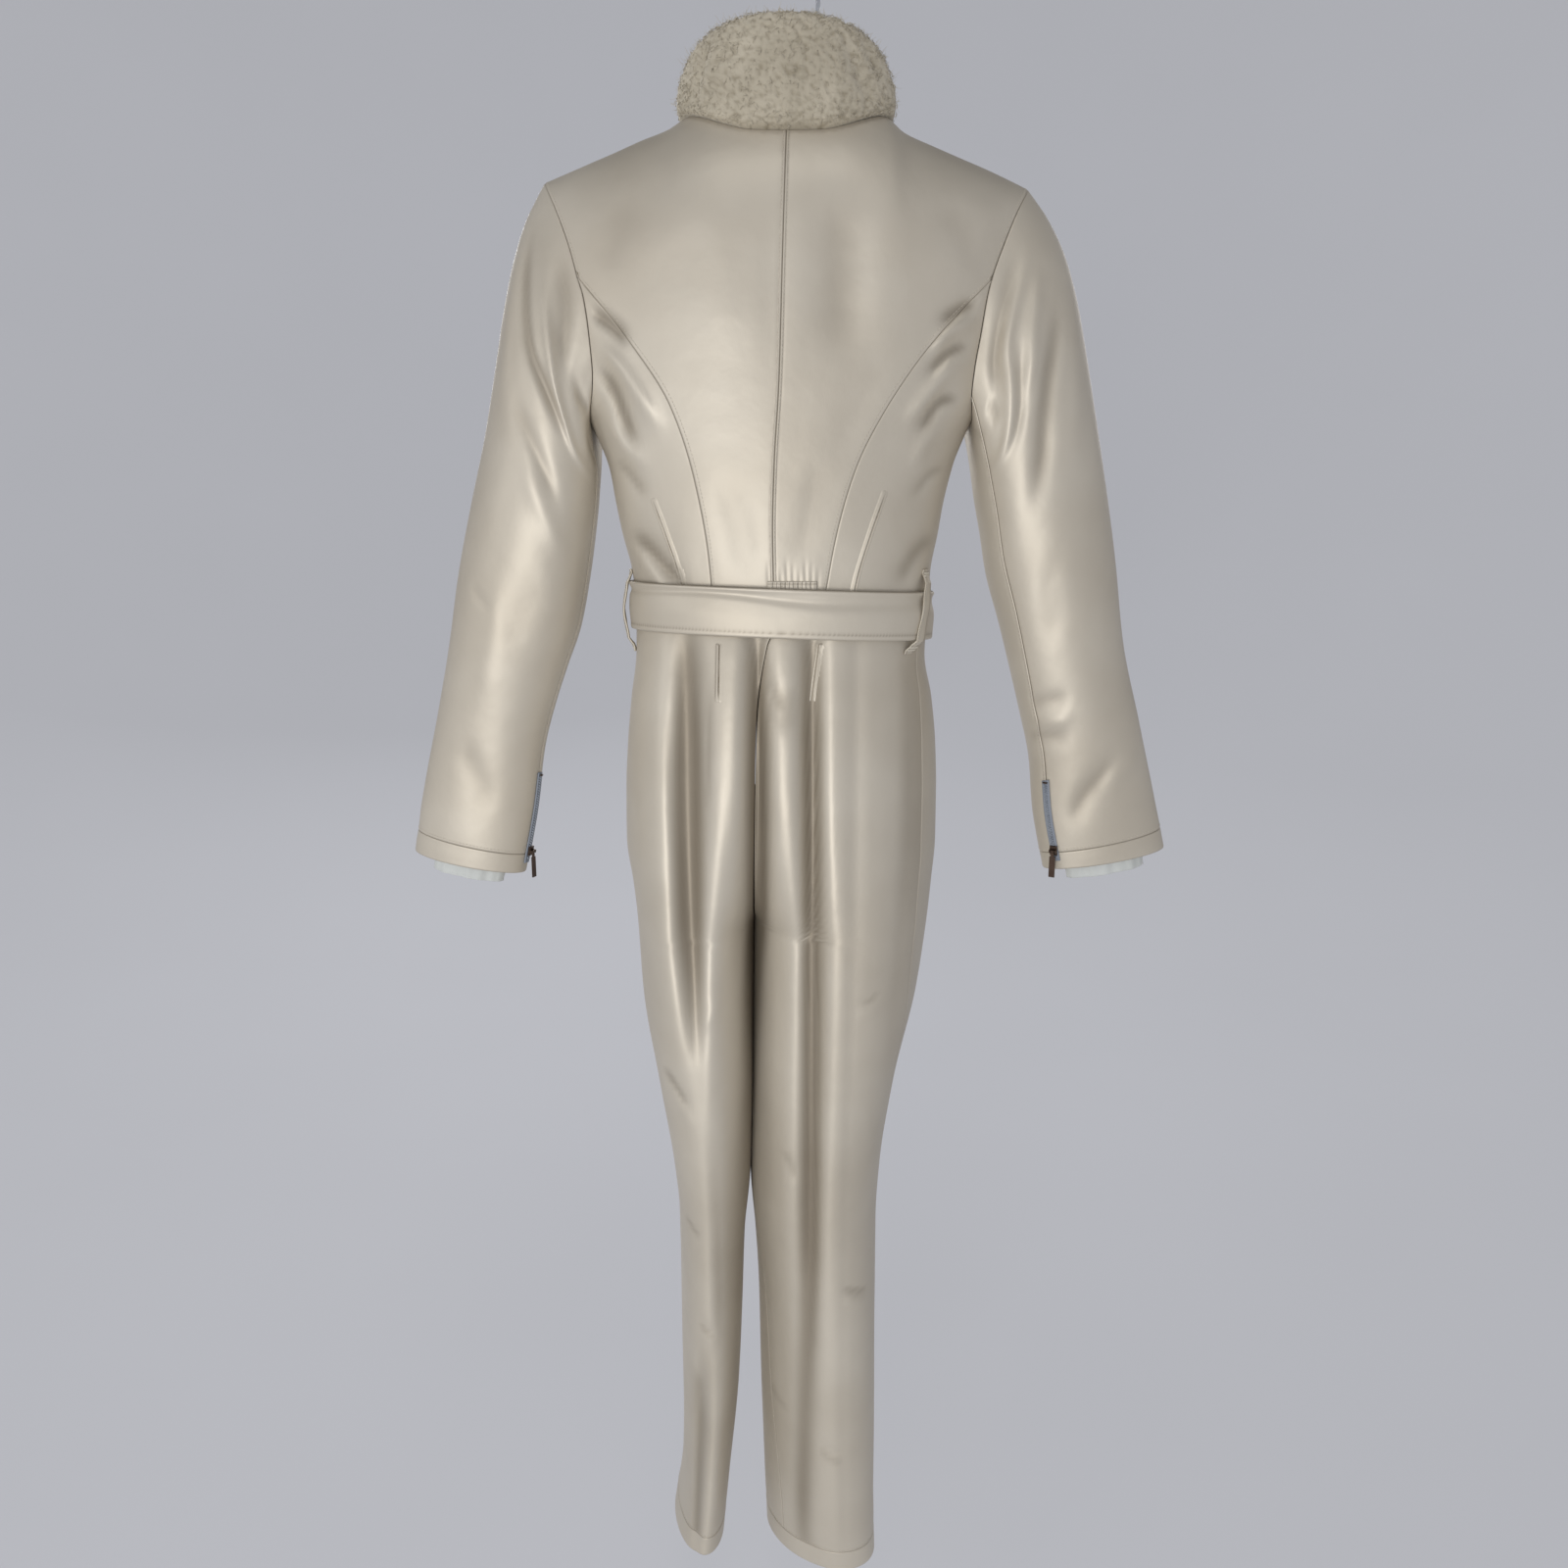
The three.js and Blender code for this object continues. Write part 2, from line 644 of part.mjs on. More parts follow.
// A point of a leg at an angle that runs from its outer edge over the back (way -1) or front.
function legPoint(side, drop, angle, way) {
  const s = legSection(side, drop);
  const power = 2 / mix(sectionPower, 2, Math.min(Math.max((drop - waistDrop) / 200, 0), 1));
  const out = Math.sign(Math.cos(angle)) * Math.abs(Math.cos(angle)) ** power * s.wide * s.sign;
  const deep = way * Math.abs(Math.sin(angle)) ** power * s.deep;
  const across = s.centre + out * Math.cos(s.turn) - deep * Math.sin(s.turn);
  let along = s.rows.middleY(drop) + deep * Math.cos(s.turn) + out * Math.sin(s.turn);
  const folds = way < 0 ? backFolds : frontFolds;
  along += way * foldDepth(folds, across, drop) * Math.sin(angle) ** 2;
  const share = Math.min(Math.max((drop - tiltStart) / (legHem[side].drop - tiltStart), 0), 1);
  return new THREE.Vector3(across, along, -(drop + legHem[side].tilt * share * share * along));
}

// The angle where a leg's section meets the middle line, or its inside below the crotch.
function innerAngle(side, drop, way) {
  const s = legSection(side, drop);
  if (!s.above) return Math.PI;
  const zip = way > 0 ? zipWidth / 2 + zipSide : legGap / 2;
  const fade = Math.min(Math.max((frontZipEnd + 14 - drop) / 8, 0), 1);
  const off = way > 0 ? mix(legGap / 2, zip, fade) : zip;
  const power = 2 / mix(sectionPower, 2, Math.min(Math.max((drop - waistDrop) / 200, 0), 1));
  const share = ((s.middle + s.sign * off - s.centre) * s.sign) / s.wide;
  return Math.acos(Math.sign(share) * Math.min(Math.abs(share), 1) ** (1 / power));
}

// The side seam lies a little to the back on the right leg and to the front on the left leg.
const seamTurn = {
  left: curveThrough([519, 700, 1480], [0, -12, -20]),
  right: curveThrough([519, 545, 700, 850, 1100, 1496], [0, 22, 32, 38, 30, 2]),
};
const legRows = [
  521, 548, 578, 610, 642, 672, 697, 706, 730, 755, 777, 793, crotchDrop, 825, 856, 895, 940, 990,
  1040, 1090, 1150, 1215, 1285, 1355, 1420,
];
const legBackSteps = 10;
const legFrontSteps = 7;

function legInside(side) {
  return (z) => {
    const s = legSection(side, Math.min(-z, legHem[side].drop));
    return new THREE.Vector3(mix(s.centre, s.sign * s.rows.outer(-z), s.above ? 0.15 : 0), 0, z);
  };
}

function legGrid(side, way, drops, count) {
  return drops.map((drop) => {
    const start = (seamTurn[side](drop) * Math.PI) / 180;
    const end = innerAngle(side, drop, way);
    return steps(count).map((t) => {
      const angle = mix(way < 0 ? start : -start, end, t);
      return legPoint(side, drop, Math.abs(angle), angle < 0 ? -way : way);
    });
  });
}

for (const side of ["left", "right"]) {
  const end = legHem[side].drop - legHemHeight;
  const drops = [...legRows.filter((drop) => drop < end - 20), end];
  for (const [name, way, count] of [["back", -1, legBackSteps], ["front", 1, legFrontSteps]]) {
    panels.push({
      name: `${name}_leg_${side}`,
      grid: legGrid(side, way, drops, count),
      inside: legInside(side),
      trims: { first: half, last: half },
    });
  }
  const hemDrops = [end + seamGap, end + legHemHeight / 2, legHem[side].drop];
  const hemBack = legGrid(side, -1, hemDrops, legBackSteps);
  const hemFront = legGrid(side, 1, hemDrops, legFrontSteps);
  panels.push({
    name: `leg_hem_${side}`,
    grid: hemBack.map((row, i) => [...row, ...hemFront[i].slice(1, legFrontSteps).reverse()]),
    round: true,
    inside: legInside(side),
    wall: 2.2,
    trims: {},
  });
}

panels.forEach(noteSlants);
for (const { name, grid, round, wall = clothWall, family, trims } of panels) {
  const outer = grid.map((row) => row.map((p) => p.clone()));
  const inner = grid.map((row) => row.map((p) => {
    return p.clone().addScaledVector(slantAt(p, family), -wall);
  }));
  trimEdges(outer, inner, trims);
  addMesh(name, wallGeometry(outer, inner, round), cream);
}

// A strip that lies on a face: points and the way out at each share along and across it.
function strip(rows, columns, thick, pointAt, liftAt) {
  const outer = [];
  const inner = [];
  for (const v of rows) {
    const line = columns.map((u) => pointAt(v, u));
    outer.push(line.map(({ at, out }) => at.clone().addScaledVector(out, liftAt(v) + thick)));
    inner.push(line.map(({ at, out }) => at.clone().addScaledVector(out, liftAt(v))));
  }
  return wallGeometry(outer, inner, false);
}

// The collar: a padded ring on the neck seam, higher at the back, open at the front for the zip.
const collarTop = { half: 72, back: -48, front: 55, height: 49, fall: 15.5 };
const collarProfile = [
  // share up, share out from the inside to the outside, share of the bulge
  [0.06, 1, 0.3],
  [0.2, 1, 0.7],
  [0.45, 1, 1],
  [0.7, 1, 0.8],
  [0.88, 0.98, 0.45],
  [0.97, 0.75, 0.1],
  [1, 0.42, 0],
  [0.96, 0.08, 0],
  [0.7, 0, 0.5],
  [0.35, 0, 0.6],
  [0, 0, 0],
];
const collarBulge = 7;
const collarFrontGap = zipWidth / 2 + 0.8;

function neckLoop() {
  const loop = [];
  const quarters = [["right", 1], ["right", -1], ["left", -1], ["left", 1]];
  for (const [side, way] of quarters) {
    const places = topPlaces(side, way > 0 ? neckFront : neckBack).slice(0, neckSteps + 1);
    const outwards = (side === "right") === (way > 0);
    const run = places.map(([angle, drop]) => bodicePoint(angle, drop, way));
    loop.push(...(outwards ? run : run.reverse()).slice(loop.length ? 1 : 0));
  }
  return loop;
}

function collarGeometry() {
  const base = neckLoop();
  const count = base.length - 1;
  const rings = base.map((point, i) => {
    const turn = (i / count) * 2 * Math.PI;
    const narrow = Math.asin(collarFrontGap / collarTop.half);
    const angle = mix(narrow, 2 * Math.PI - narrow, i / count);
    const deep = Math.cos(angle) < 0 ? -collarTop.back : collarTop.front;
    const top = new THREE.Vector3(collarTop.half * Math.sin(angle), deep * Math.cos(angle), 0);
    top.z = -(collarTop.height + collarTop.fall * (1 + Math.cos(angle)));
    const foot = point.clone();
    foot.z += seamGap + 0.1;
    if (i === 0) foot.x = collarFrontGap;
    if (i === count) foot.x = -collarFrontGap;
    const out = new THREE.Vector3(Math.sin(turn), Math.cos(turn), 0);
    if (i === 0 || i === count) out.set(0, 1, 0);
    return collarProfile.map(([up, outShare, bulge]) => {
      const p = foot.clone().lerp(top, up);
      return p.addScaledVector(out, (outShare - 0.5) * collarThick + bulge * collarBulge);
    });
  });
  const sections = collarProfile.length;
  const points = rings.flat();
  const faces = [];
  for (let i = 0; i < count; i += 1) {
    for (let j = 0; j < sections; j += 1) {
      const next = (j + 1) % sections;
      const [a, b] = [i * sections + j, i * sections + next];
      faces.push(a, b + sections, a + sections, a, b, b + sections);
    }
  }
  for (let j = 1; j < sections - 1; j += 1) {
    const end = count * sections;
    faces.push(0, j + 1, j, end, end + j, end + j + 1);
  }
  const geometry = new THREE.BufferGeometry().setFromPoints(points);
  geometry.setIndex(faces);
  geometry.computeVertexNormals();
  return geometry;
}
addMesh("collar", collarGeometry(), pile);

const wasm = await Module();
wasm.setup();

// A closed mesh as a solid, and back, for the few pieces that are joined from simple shapes.
function toSolid(geometry) {
  const bare = geometry.clone();
  bare.deleteAttribute("normal");
  bare.deleteAttribute("uv");
  const merged = mergeVertices(bare, 1e-3);
  return new wasm.Manifold(
    new wasm.Mesh({
      numProp: 3,
      vertProperties: merged.attributes.position.array,
      triVerts: new Uint32Array(merged.index.array),
    }),
  );
}

function fromSolid(solid) {
  const mesh = solid.getMesh();
  const geometry = new THREE.BufferGeometry();
  geometry.setAttribute("position", new THREE.BufferAttribute(mesh.vertProperties, 3));
  geometry.setIndex(new THREE.BufferAttribute(mesh.triVerts, 1));
  geometry.computeVertexNormals();
  return geometry;
}

const joined = (geometries) => fromSolid(geometries.map(toSolid).reduce((a, b) => a.add(b)));

// The front zip runs up the collar's front edge, down the bodice and over the waist.
const zipCollarY = curveThrough([82, 100, 125, 148, 168], [60, 61.5, 63, 65, 68]);
function frontZipPlace(drop) {
  if (drop <= 168) return new THREE.Vector3(bodice.middle(drop), zipCollarY(drop), -drop);
  if (drop <= waistDrop) return bodicePoint(0, drop, 1);
  const angle = innerAngle("left", drop, 1);
  const y = legPoint("left", drop, angle, 1).y;
  return new THREE.Vector3(seat.middle(drop), y, -drop);
}
const frontZipRows = [
  82, 92, 105, 120, 135, 148, 160, 176, 200, 240, 285, 330, 375, 420, 460, 495, 519, 521, 548, 578,
  610, 642, 672, frontZipEnd,
];
const forward = new THREE.Vector3(0, 1, 0);
function frontZipAt(drop, u) {
  const at = frontZipPlace(drop);
  at.x += (u * zipWidth) / 2;
  return { at, out: forward };
}
addMesh("front_zip", strip(frontZipRows, [-1, 0, 1], zipThick, frontZipAt, () => -zipDepth), tape);

// A place on a sleeve's outer face with the ways out and along, at an angle and share.
function sleeveFrame(side, share, angle) {
  const at = sleeveEllipse(side, share, angle);
  const round = sleeveEllipse(side, share, angle + 0.02).sub(at);
  const along = sleeveEllipse(side, share + 0.004, angle).sub(at);
  const out = new THREE.Vector3().crossVectors(along, round).normalize();
  const centre = sleeveEllipse(side, share, 0).lerp(sleeveEllipse(side, share, Math.PI), 0.5);
  if (out.dot(at.clone().sub(centre)) < 0) out.negate();
  return { at, out, round: round.length() / 0.02 };
}
const sleeveZip = { start: 0.845, end: 0.985, left: 2.95, right: 2.5, lift: 0.35, thick: 1.8 };

// A slider and its pull tab: the axle lies level across the zip, so the tab hangs plumb from it.
const slider = {
  wide: 7,
  thick: 1.6,
  long: 9,
  cheek: 1.3,
  cheekOut: 2.9,
  cheekLong: 3,
  sink: 0.4,
  axle: 0.5,
  eye: 1.4,
};
const pull = { head: 3, wide: 5.6, thick: 1.3, long: 25, hole: 0.85, gap: 0.35 };
const axleOut = slider.thick + pull.gap + slider.eye;

function boxAt(size, centre) {
  return new THREE.BoxGeometry(...size).translate(...centre);
}

function sliderGeometry() {
  const reach = (slider.wide - slider.cheek) / 2;
  const cheek = (x) => {
    const middle = slider.thick + (slider.cheekOut - slider.sink) / 2;
    return boxAt([slider.cheek, slider.cheekOut + slider.sink, slider.cheekLong], [x, middle, 0]);
  };
  const axle = new THREE.CylinderGeometry(slider.axle, slider.axle, slider.wide - 1, 10);
  axle.rotateZ(Math.PI / 2).translate(0, axleOut, 0);
  const plate = boxAt([slider.wide, slider.thick, slider.long], [0, slider.thick / 2, 0]);
  return joined([plate, cheek(-reach), cheek(reach), axle]);
}

function pullGeometry() {
  const outline = new THREE.Shape().absarc(0, 0, slider.eye, 0, 2 * Math.PI);
  outline.holes.push(new THREE.Path().absarc(0, 0, pull.hole, 0, 2 * Math.PI, true));
  const looks = { depth: pull.head, bevelEnabled: false, curveSegments: 14 };
  const eye = new THREE.ExtrudeGeometry(outline, looks);
  eye.translate(0, 0, -pull.head / 2).rotateY(Math.PI / 2);
  const neck = boxAt([pull.head, pull.thick, 4], [0, 0, -slider.eye - 1.6]);
  const blade = boxAt([pull.wide, pull.thick, pull.long - 5], [0, 0, -(pull.long + 5) / 2]);
  return joined([eye, neck, blade]);
}

// Sets a slider on a zip and its tab on the slider's axle. The tab stays plumb.
function addSlider(name, at, out) {
  const level = new THREE.Vector3(out.x, out.y, 0).normalize();
  const across = new THREE.Vector3().crossVectors(level, new THREE.Vector3(0, 0, 1));
  const up = new THREE.Vector3().crossVectors(across, out).normalize();
  const piece = addMesh(`${name}_slider`, sliderGeometry(), bronze);
  piece.position.copy(at);
  piece.quaternion.setFromRotationMatrix(new THREE.Matrix4().makeBasis(across, out, up));
  const tab = addMesh(`${name}_pull`, pullGeometry(), bronze);
  tab.position.copy(at).addScaledVector(out, axleOut);
  const plumb = new THREE.Matrix4().makeBasis(across, level, new THREE.Vector3(0, 0, 1));
  tab.quaternion.setFromRotationMatrix(plumb);
  return tab;
}

for (const side of ["left", "right"]) {
  const angle = sleeveZip[side];
  const zipAt = (share, u) => {
    const middle = sleeveFrame(side, share, angle);
    return sleeveFrame(side, share, angle + (u * zipWidth) / 2 / middle.round);
  };
  const rows = steps(10).map((t) => mix(sleeveZip.start, sleeveZip.end, t));
  const geometry = strip(rows, [-1, -0.33, 0.33, 1], sleeveZip.thick, zipAt, () => sleeveZip.lift);
  addMesh(`sleeve_${side}_zip`, geometry, tape);
  const { at, out } = sleeveFrame(side, 0.967, angle);
  addSlider(`sleeve_${side}`, at.addScaledVector(out, sleeveZip.lift + sleeveZip.thick + 0.35), out);
}
const frontSliderDrop = 92;
const frontSliderAt = frontZipPlace(frontSliderDrop);
frontSliderAt.y += zipThick - zipDepth + 0.35;
addSlider("front", frontSliderAt, forward);

// The smooth inner cuffs: fixed inside the sleeve, then narrower, ending below its hem.
const cuffRows = [
  // share, run past the hem, share of the half width, share of the depth
  [0.89, 0, 1, 0.9],
  [0.93, 0, 0.8, 0.78],
  [0.965, 0, 0.71, 0.7],
  [1, 0, 0.69, 0.66],
  [1, 14, 0.68, 0.64],
];
const cuffInset = 2.6;
function cuffPoint(side, [share, past, wide, deep], angle, thick) {
  const [a, b] = [sleeveEllipse(side, share, 0), sleeveEllipse(side, share, Math.PI)];
  const centre = a.clone().lerp(b, 0.5);
  const reach = a.clone().sub(b).multiplyScalar(0.5);
  const depth = sleeves[side].depth(share);
  const across = reach.length() * wide - cuffInset - thick;
  const pleat = share < 0.96 ? 0 : 0.9 * Math.cos(angle * 7);
  const out = depth * deep - cuffInset - thick + pleat;
  const axis = new THREE.Vector3(-reach.z, 0, reach.x).normalize();
  if (axis.z > 0) axis.negate();
  return centre
    .addScaledVector(reach.normalize(), across * Math.cos(angle))
    .addScaledVector(forward, -out * Math.sin(angle))
    .addScaledVector(axis, past);
}
for (const side of ["left", "right"]) {
  const grid = (thick) => cuffRows.map((row) => {
    return aroundSleeve.map((j) => cuffPoint(side, row, (j / sleeveCount) * 2 * Math.PI, thick));
  });
  addMesh(`storm_cuff_${side}`, wallGeometry(grid(0), grid(1.2), true), lycra);
}

// The belt: a band round the waist that tilts a little, with its buckle and tail at the front.
const belt = { half: 134.8, back: 77, front: 77, drop: 516, tilt: 0.035, middle: -4 };
function beltPoint(turn, up, away) {
  const [s, c] = [Math.sin(turn), Math.cos(turn)];
  const power = 2 / sectionPower;
  const x = belt.middle + (belt.half + away) * Math.sign(s) * Math.abs(s) ** power;
  const deep = (c > 0 ? belt.back : belt.front) + away;
  const y = -deep * Math.sign(c) * Math.abs(c) ** power;
  return new THREE.Vector3(x, y, -(belt.drop + belt.tilt * x) + up);
}
const beltTurns = 40;
const beltUps = [beltWidth / 2, 0, -beltWidth / 2];
const aroundBelt = Array.from({ length: beltTurns }, (_, j) => (j / beltTurns) * 2 * Math.PI);
const beltGrid = (away) => beltUps.map((up) => aroundBelt.map((turn) => beltPoint(turn, up, away)));
addMesh("belt", wallGeometry(beltGrid(beltThick), beltGrid(0), true), cream);
const tailTurns = steps(12).map((t) => mix(3.02, 4.3, t));
const tailGrid = (away) => {
  return beltUps.map((up) => tailTurns.map((turn) => beltPoint(turn, up * 0.98, away)));
};
const tailAway = beltThick + 0.5;
addMesh("belt_tail", wallGeometry(tailGrid(tailAway + beltThick), tailGrid(tailAway), false), cream);
const buckle = { wide: 56, high: 58, bar: 7, thick: 3 };
function rectangle(path, wide, high) {
  path.moveTo(-wide / 2, -high / 2);
  path.lineTo(wide / 2, -high / 2);
  path.lineTo(wide / 2, high / 2);
  path.lineTo(-wide / 2, high / 2);
  path.closePath();
  return path;
}
const buckleShape = rectangle(new THREE.Shape(), buckle.wide, buckle.high);
const buckleHole = [buckle.wide - 2 * buckle.bar, buckle.high - 2 * buckle.bar];
buckleShape.holes.push(rectangle(new THREE.Path(), ...buckleHole));
const buckleGeometry = new THREE.ExtrudeGeometry(buckleShape, { depth: buckle.thick, bevelEnabled: false });
buckleGeometry.rotateX(Math.PI / 2).translate(0, buckle.thick, 0);
const buckleMesh = addMesh("belt_buckle", buckleGeometry, bronze);
const buckleAt = beltPoint(Math.PI, 0, tailAway + beltThick - 0.3);
buckleMesh.position.copy(buckleAt);

// Belt loops: a narrow band from the bodice over the belt to the trousers.
const loops = {
  left: { top: 1.48, bottom: 1.46, bow: 4.5 },
  right: { top: 1.2, bottom: 1.02, bow: 1.2 },
};
const loopHalf = 0.062;
const loopRows = [0, 0.08, 0.17, 0.26, 0.4, 0.5, 0.6, 0.74, 0.83, 0.92, 1];
const loopTop = 480;
const loopBottom = 553;
function loopPoint(side, t, u, thick) {
  const sign = sideSign[side];
  const turn = Math.min(mix(loops[side].top, loops[side].bottom, t) + u * loopHalf, Math.PI / 2);
  const drop = mix(loopTop, loopBottom, t);
  const bow = loops[side].bow * Math.sin(t * Math.PI) ** 2;
  const over = beltPoint(sign * turn, 0, beltThick + 0.6 + bow + thick);
  over.z = -drop;
  const onBodice = t < 0.5;
  const rest = onBodice
    ? bodicePoint(sign * turn, drop, -1)
    : legPoint(side, drop, Math.PI / 2 - turn, -1);
  const out = new THREE.Vector3(sign * Math.sin(turn), -Math.cos(turn) * 1.6, 0).normalize();
  rest.addScaledVector(out, 0.7 + thick);
  const lie = Math.min(Math.max((Math.abs(t - 0.5) - 0.34) / 0.12, 0), 1);
  return over.lerp(rest, lie);
}
for (const side of ["left", "right"]) {
  const grid = (thick) => loopRows.map((t) => [-1, 0, 1].map((u) => loopPoint(side, t, u, thick)));
  addMesh(`belt_loop_${side}`, wallGeometry(grid(1.6), grid(0), false), cream);
}

// The small elastic tab at the centre back, which shows just above the belt.
const tab = { from: -16, to: 26, top: 489, bottom: 512, lift: 0.5, thick: 1.4 };
const tabGrid = (away) => [0, 0.5, 1].map((t) => steps(6).map((u) => {
  const drop = mix(tab.top, tab.bottom, t);
  const across = mix(tab.from, tab.to, u);
  const point = bodicePoint(bodiceAngle(across, drop), drop, -1);
  point.y -= away;
  return point;
}));
addMesh("waist_tab", wallGeometry(tabGrid(tab.lift + tab.thick), tabGrid(tab.lift), false), cream);

// The hanger: a bent wire hook on a round bar that carries the shoulders from inside.
const hookMiddle = -(hookRadius - wireRadius);
const hookTurns = steps(14).map((t) => mix(200, -48, t) * (Math.PI / 180));
const hookPath = new THREE.CatmullRomCurve3([
  ...hookTurns.map((turn) => {
    const [across, up] = [hookRadius * Math.cos(turn), hookRadius * Math.sin(turn)];
    return new THREE.Vector3(across, 0, hookMiddle + up);
  }),
  new THREE.Vector3(6.5, 0, -51),
  new THREE.Vector3(0, 0, -64),
  new THREE.Vector3(0, 0, -84),
  new THREE.Vector3(0, 0, -103),
]);
const roundShape = (radius) => new THREE.Shape().absarc(0, 0, radius, 0, 2 * Math.PI);
addMesh(
  "hanger_hook",
  new THREE.ExtrudeGeometry(roundShape(wireRadius), {
    steps: 44,
    curveSegments: 4,
    extrudePath: hookPath,
    bevelEnabled: false,
  }),
  chrome,
);
const barUnder = clothWall + 1.8 + barRadius;
const barReaches = [180, 165, 150, 135, 120, 105, 92];
const barEnd = (side, reach) => {
  return new THREE.Vector3(sideSign[side] * reach, 0, -(ridge[side](reach) + barUnder));
};
const barPath = new THREE.CatmullRomCurve3([
  ...barReaches.map((reach) => barEnd("left", reach)),
  new THREE.Vector3(-60, 0, -114),
  new THREE.Vector3(-25, 0, -110),
  new THREE.Vector3(0, 0, -109.5),
  new THREE.Vector3(25, 0, -110),
  new THREE.Vector3(60, 0, -114),
  ...barReaches.reverse().map((reach) => barEnd("right", reach)),
]);
addMesh(
  "hanger_bar",
  new THREE.ExtrudeGeometry(roundShape(barRadius), {
    steps: 30,
    curveSegments: 5,
    extrudePath: barPath,
    bevelEnabled: false,
  }),
  plastic,
);

export default suit;
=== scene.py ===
import bmesh
import bpy
import math
import numpy as np
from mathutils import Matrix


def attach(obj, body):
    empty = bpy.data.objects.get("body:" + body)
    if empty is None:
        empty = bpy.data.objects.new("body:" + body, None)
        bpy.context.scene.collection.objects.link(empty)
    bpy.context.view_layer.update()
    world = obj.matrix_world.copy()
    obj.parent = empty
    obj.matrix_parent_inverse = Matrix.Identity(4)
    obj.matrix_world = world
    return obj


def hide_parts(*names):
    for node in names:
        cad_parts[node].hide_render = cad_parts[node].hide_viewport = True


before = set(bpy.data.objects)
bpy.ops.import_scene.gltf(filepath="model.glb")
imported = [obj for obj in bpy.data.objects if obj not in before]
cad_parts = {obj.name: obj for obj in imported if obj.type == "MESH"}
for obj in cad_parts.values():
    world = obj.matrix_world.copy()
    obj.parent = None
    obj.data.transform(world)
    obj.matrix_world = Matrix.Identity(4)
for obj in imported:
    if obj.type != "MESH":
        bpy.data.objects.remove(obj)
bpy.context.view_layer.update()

# Places and sizes are in millimetres in the frame's own axes: the origin is the inside of the
# hook's top, +Z is up, -Y is out of the suit's back, and drop is the distance below the origin.
metre = 0.001

body = dict(
    wall=1.8,               # softshell cloth
    sectionPower=2.2,
    shoulderTip=dict(left=160, right=165),
    neckPoint=84,
    armpit=354,
    waist=519,
    crotch=805,
    knee=1060,
    shoulderRise=110,
    scoop=7,                # the front armhole is cut in by this much
    legGap=0.5,
    legsTouch=-0.6,         # above the knees the inner legs press on each other
    zipEdge=4.3,            # half of the zip and its clearance
    zipEnd=690,
    hemWall=2.2,            # the cloth turned up in a hem
    sleeveHang=4,           # how far a sleeve's middle hangs forward
    grid=5.0,               # spacing of the cloth's points
)
sideSign = dict(left=-1, right=1)


# Helpers for colours, nodes and objects

def linearOf(hexText, alpha=1.0):
    # Each sRGB channel c becomes c / 12.92 below 0.04045 and ((c + 0.055) / 1.055) ** 2.4 above.
    c = np.array([int(hexText[i:i + 2], 16) for i in (1, 3, 5)]) / 255
    return (*np.where(c <= 0.04045, c / 12.92, ((c + 0.055) / 1.055) ** 2.4), alpha)


def addNode(tree, kind, settings=None, **links):
    # Settings that match a socket's name set its value, the others set the node's property.
    node = tree.nodes.new(kind)
    for key, value in (settings or {}).items():
        if hasattr(node, key):
            setattr(node, key, value)
        else:
            node.inputs[int(key) if key.isdigit() else key].default_value = value
    for key, source in links.items():
        tree.links.new(source, node.inputs[int(key[1:]) if key[1:].isdigit() else key])
    return node


def newMaterial(name, settings=None):
    material = bpy.data.materials.new(name)
    material.use_nodes = True
    tree = material.node_tree
    tree.nodes.clear()
    shader = addNode(tree, "ShaderNodeBsdfPrincipled", settings)
    output = addNode(tree, "ShaderNodeOutputMaterial")
    tree.links.new(shader.outputs[0], output.inputs[0])
    return material, tree, shader


def mix(a, b, t):
    return a + (b - a) * t


def unit(v):
    return v / np.maximum(np.linalg.norm(v, axis=-1, keepdims=True), 1e-9)


def smoothStep(t):
    # 3 t^2 - 2 t^3 on t held between 0 and 1
    t = np.clip(t, 0, 1)
    return t * t * (3 - 2 * t)


def placeObject(name, data):
    obj = bpy.data.objects.new(name, data)
    bpy.context.collection.objects.link(obj)
    return obj


def makeObject(name, points, faces, uv=None, paintedShade=None, material=None):
    # points in millimetres, quads or triangles as rows of indices, uv per corner, painted shade per point
    mesh = bpy.data.meshes.new(name)
    count, corners = faces.shape
    mesh.vertices.add(len(points))
    mesh.vertices.foreach_set("co", (points * metre).astype(np.float32).ravel())
    mesh.loops.add(faces.size)
    mesh.loops.foreach_set("vertex_index", faces.astype(np.int32).ravel())
    mesh.polygons.add(count)
    mesh.polygons.foreach_set("loop_start", np.arange(0, faces.size, corners, dtype=np.int32))
    mesh.polygons.foreach_set("loop_total", np.full(count, corners, np.int32))
    mesh.polygons.foreach_set("use_smooth", np.ones(count, bool))
    mesh.update(calc_edges=True)
    if uv is not None:
        layer = mesh.uv_layers.new(name="cut")
        layer.data.foreach_set("uv", uv.astype(np.float32).ravel())
    if paintedShade is not None:
        attribute = mesh.attributes.new("paintedShade", "FLOAT", "POINT")
        attribute.data.foreach_set("value", paintedShade.astype(np.float32).ravel())
    mesh.validate()
    if material:
        mesh.materials.append(material)
    return placeObject(name, mesh)


def gridQuads(rows, columns, closed=False, first=0):
    index = np.arange(rows * columns).reshape(rows, columns) + first
    if closed:
        index = np.concatenate([index, index[:, :1]], axis=1)
    return np.stack([index[:-1, :-1], index[:-1, 1:], index[1:, 1:], index[1:, :-1]], -1).reshape(-1, 4)


def outwardFaces(quads, points, slant):
    # Turns the faces over where they look against the surface's own slant.
    a, b, d = points[quads[:, 0]], points[quads[:, 1]], points[quads[:, 3]]
    return quads[:, ::-1] if np.sum(np.cross(b - a, d - a) * slant[quads[:, 0]]) < 0 else quads


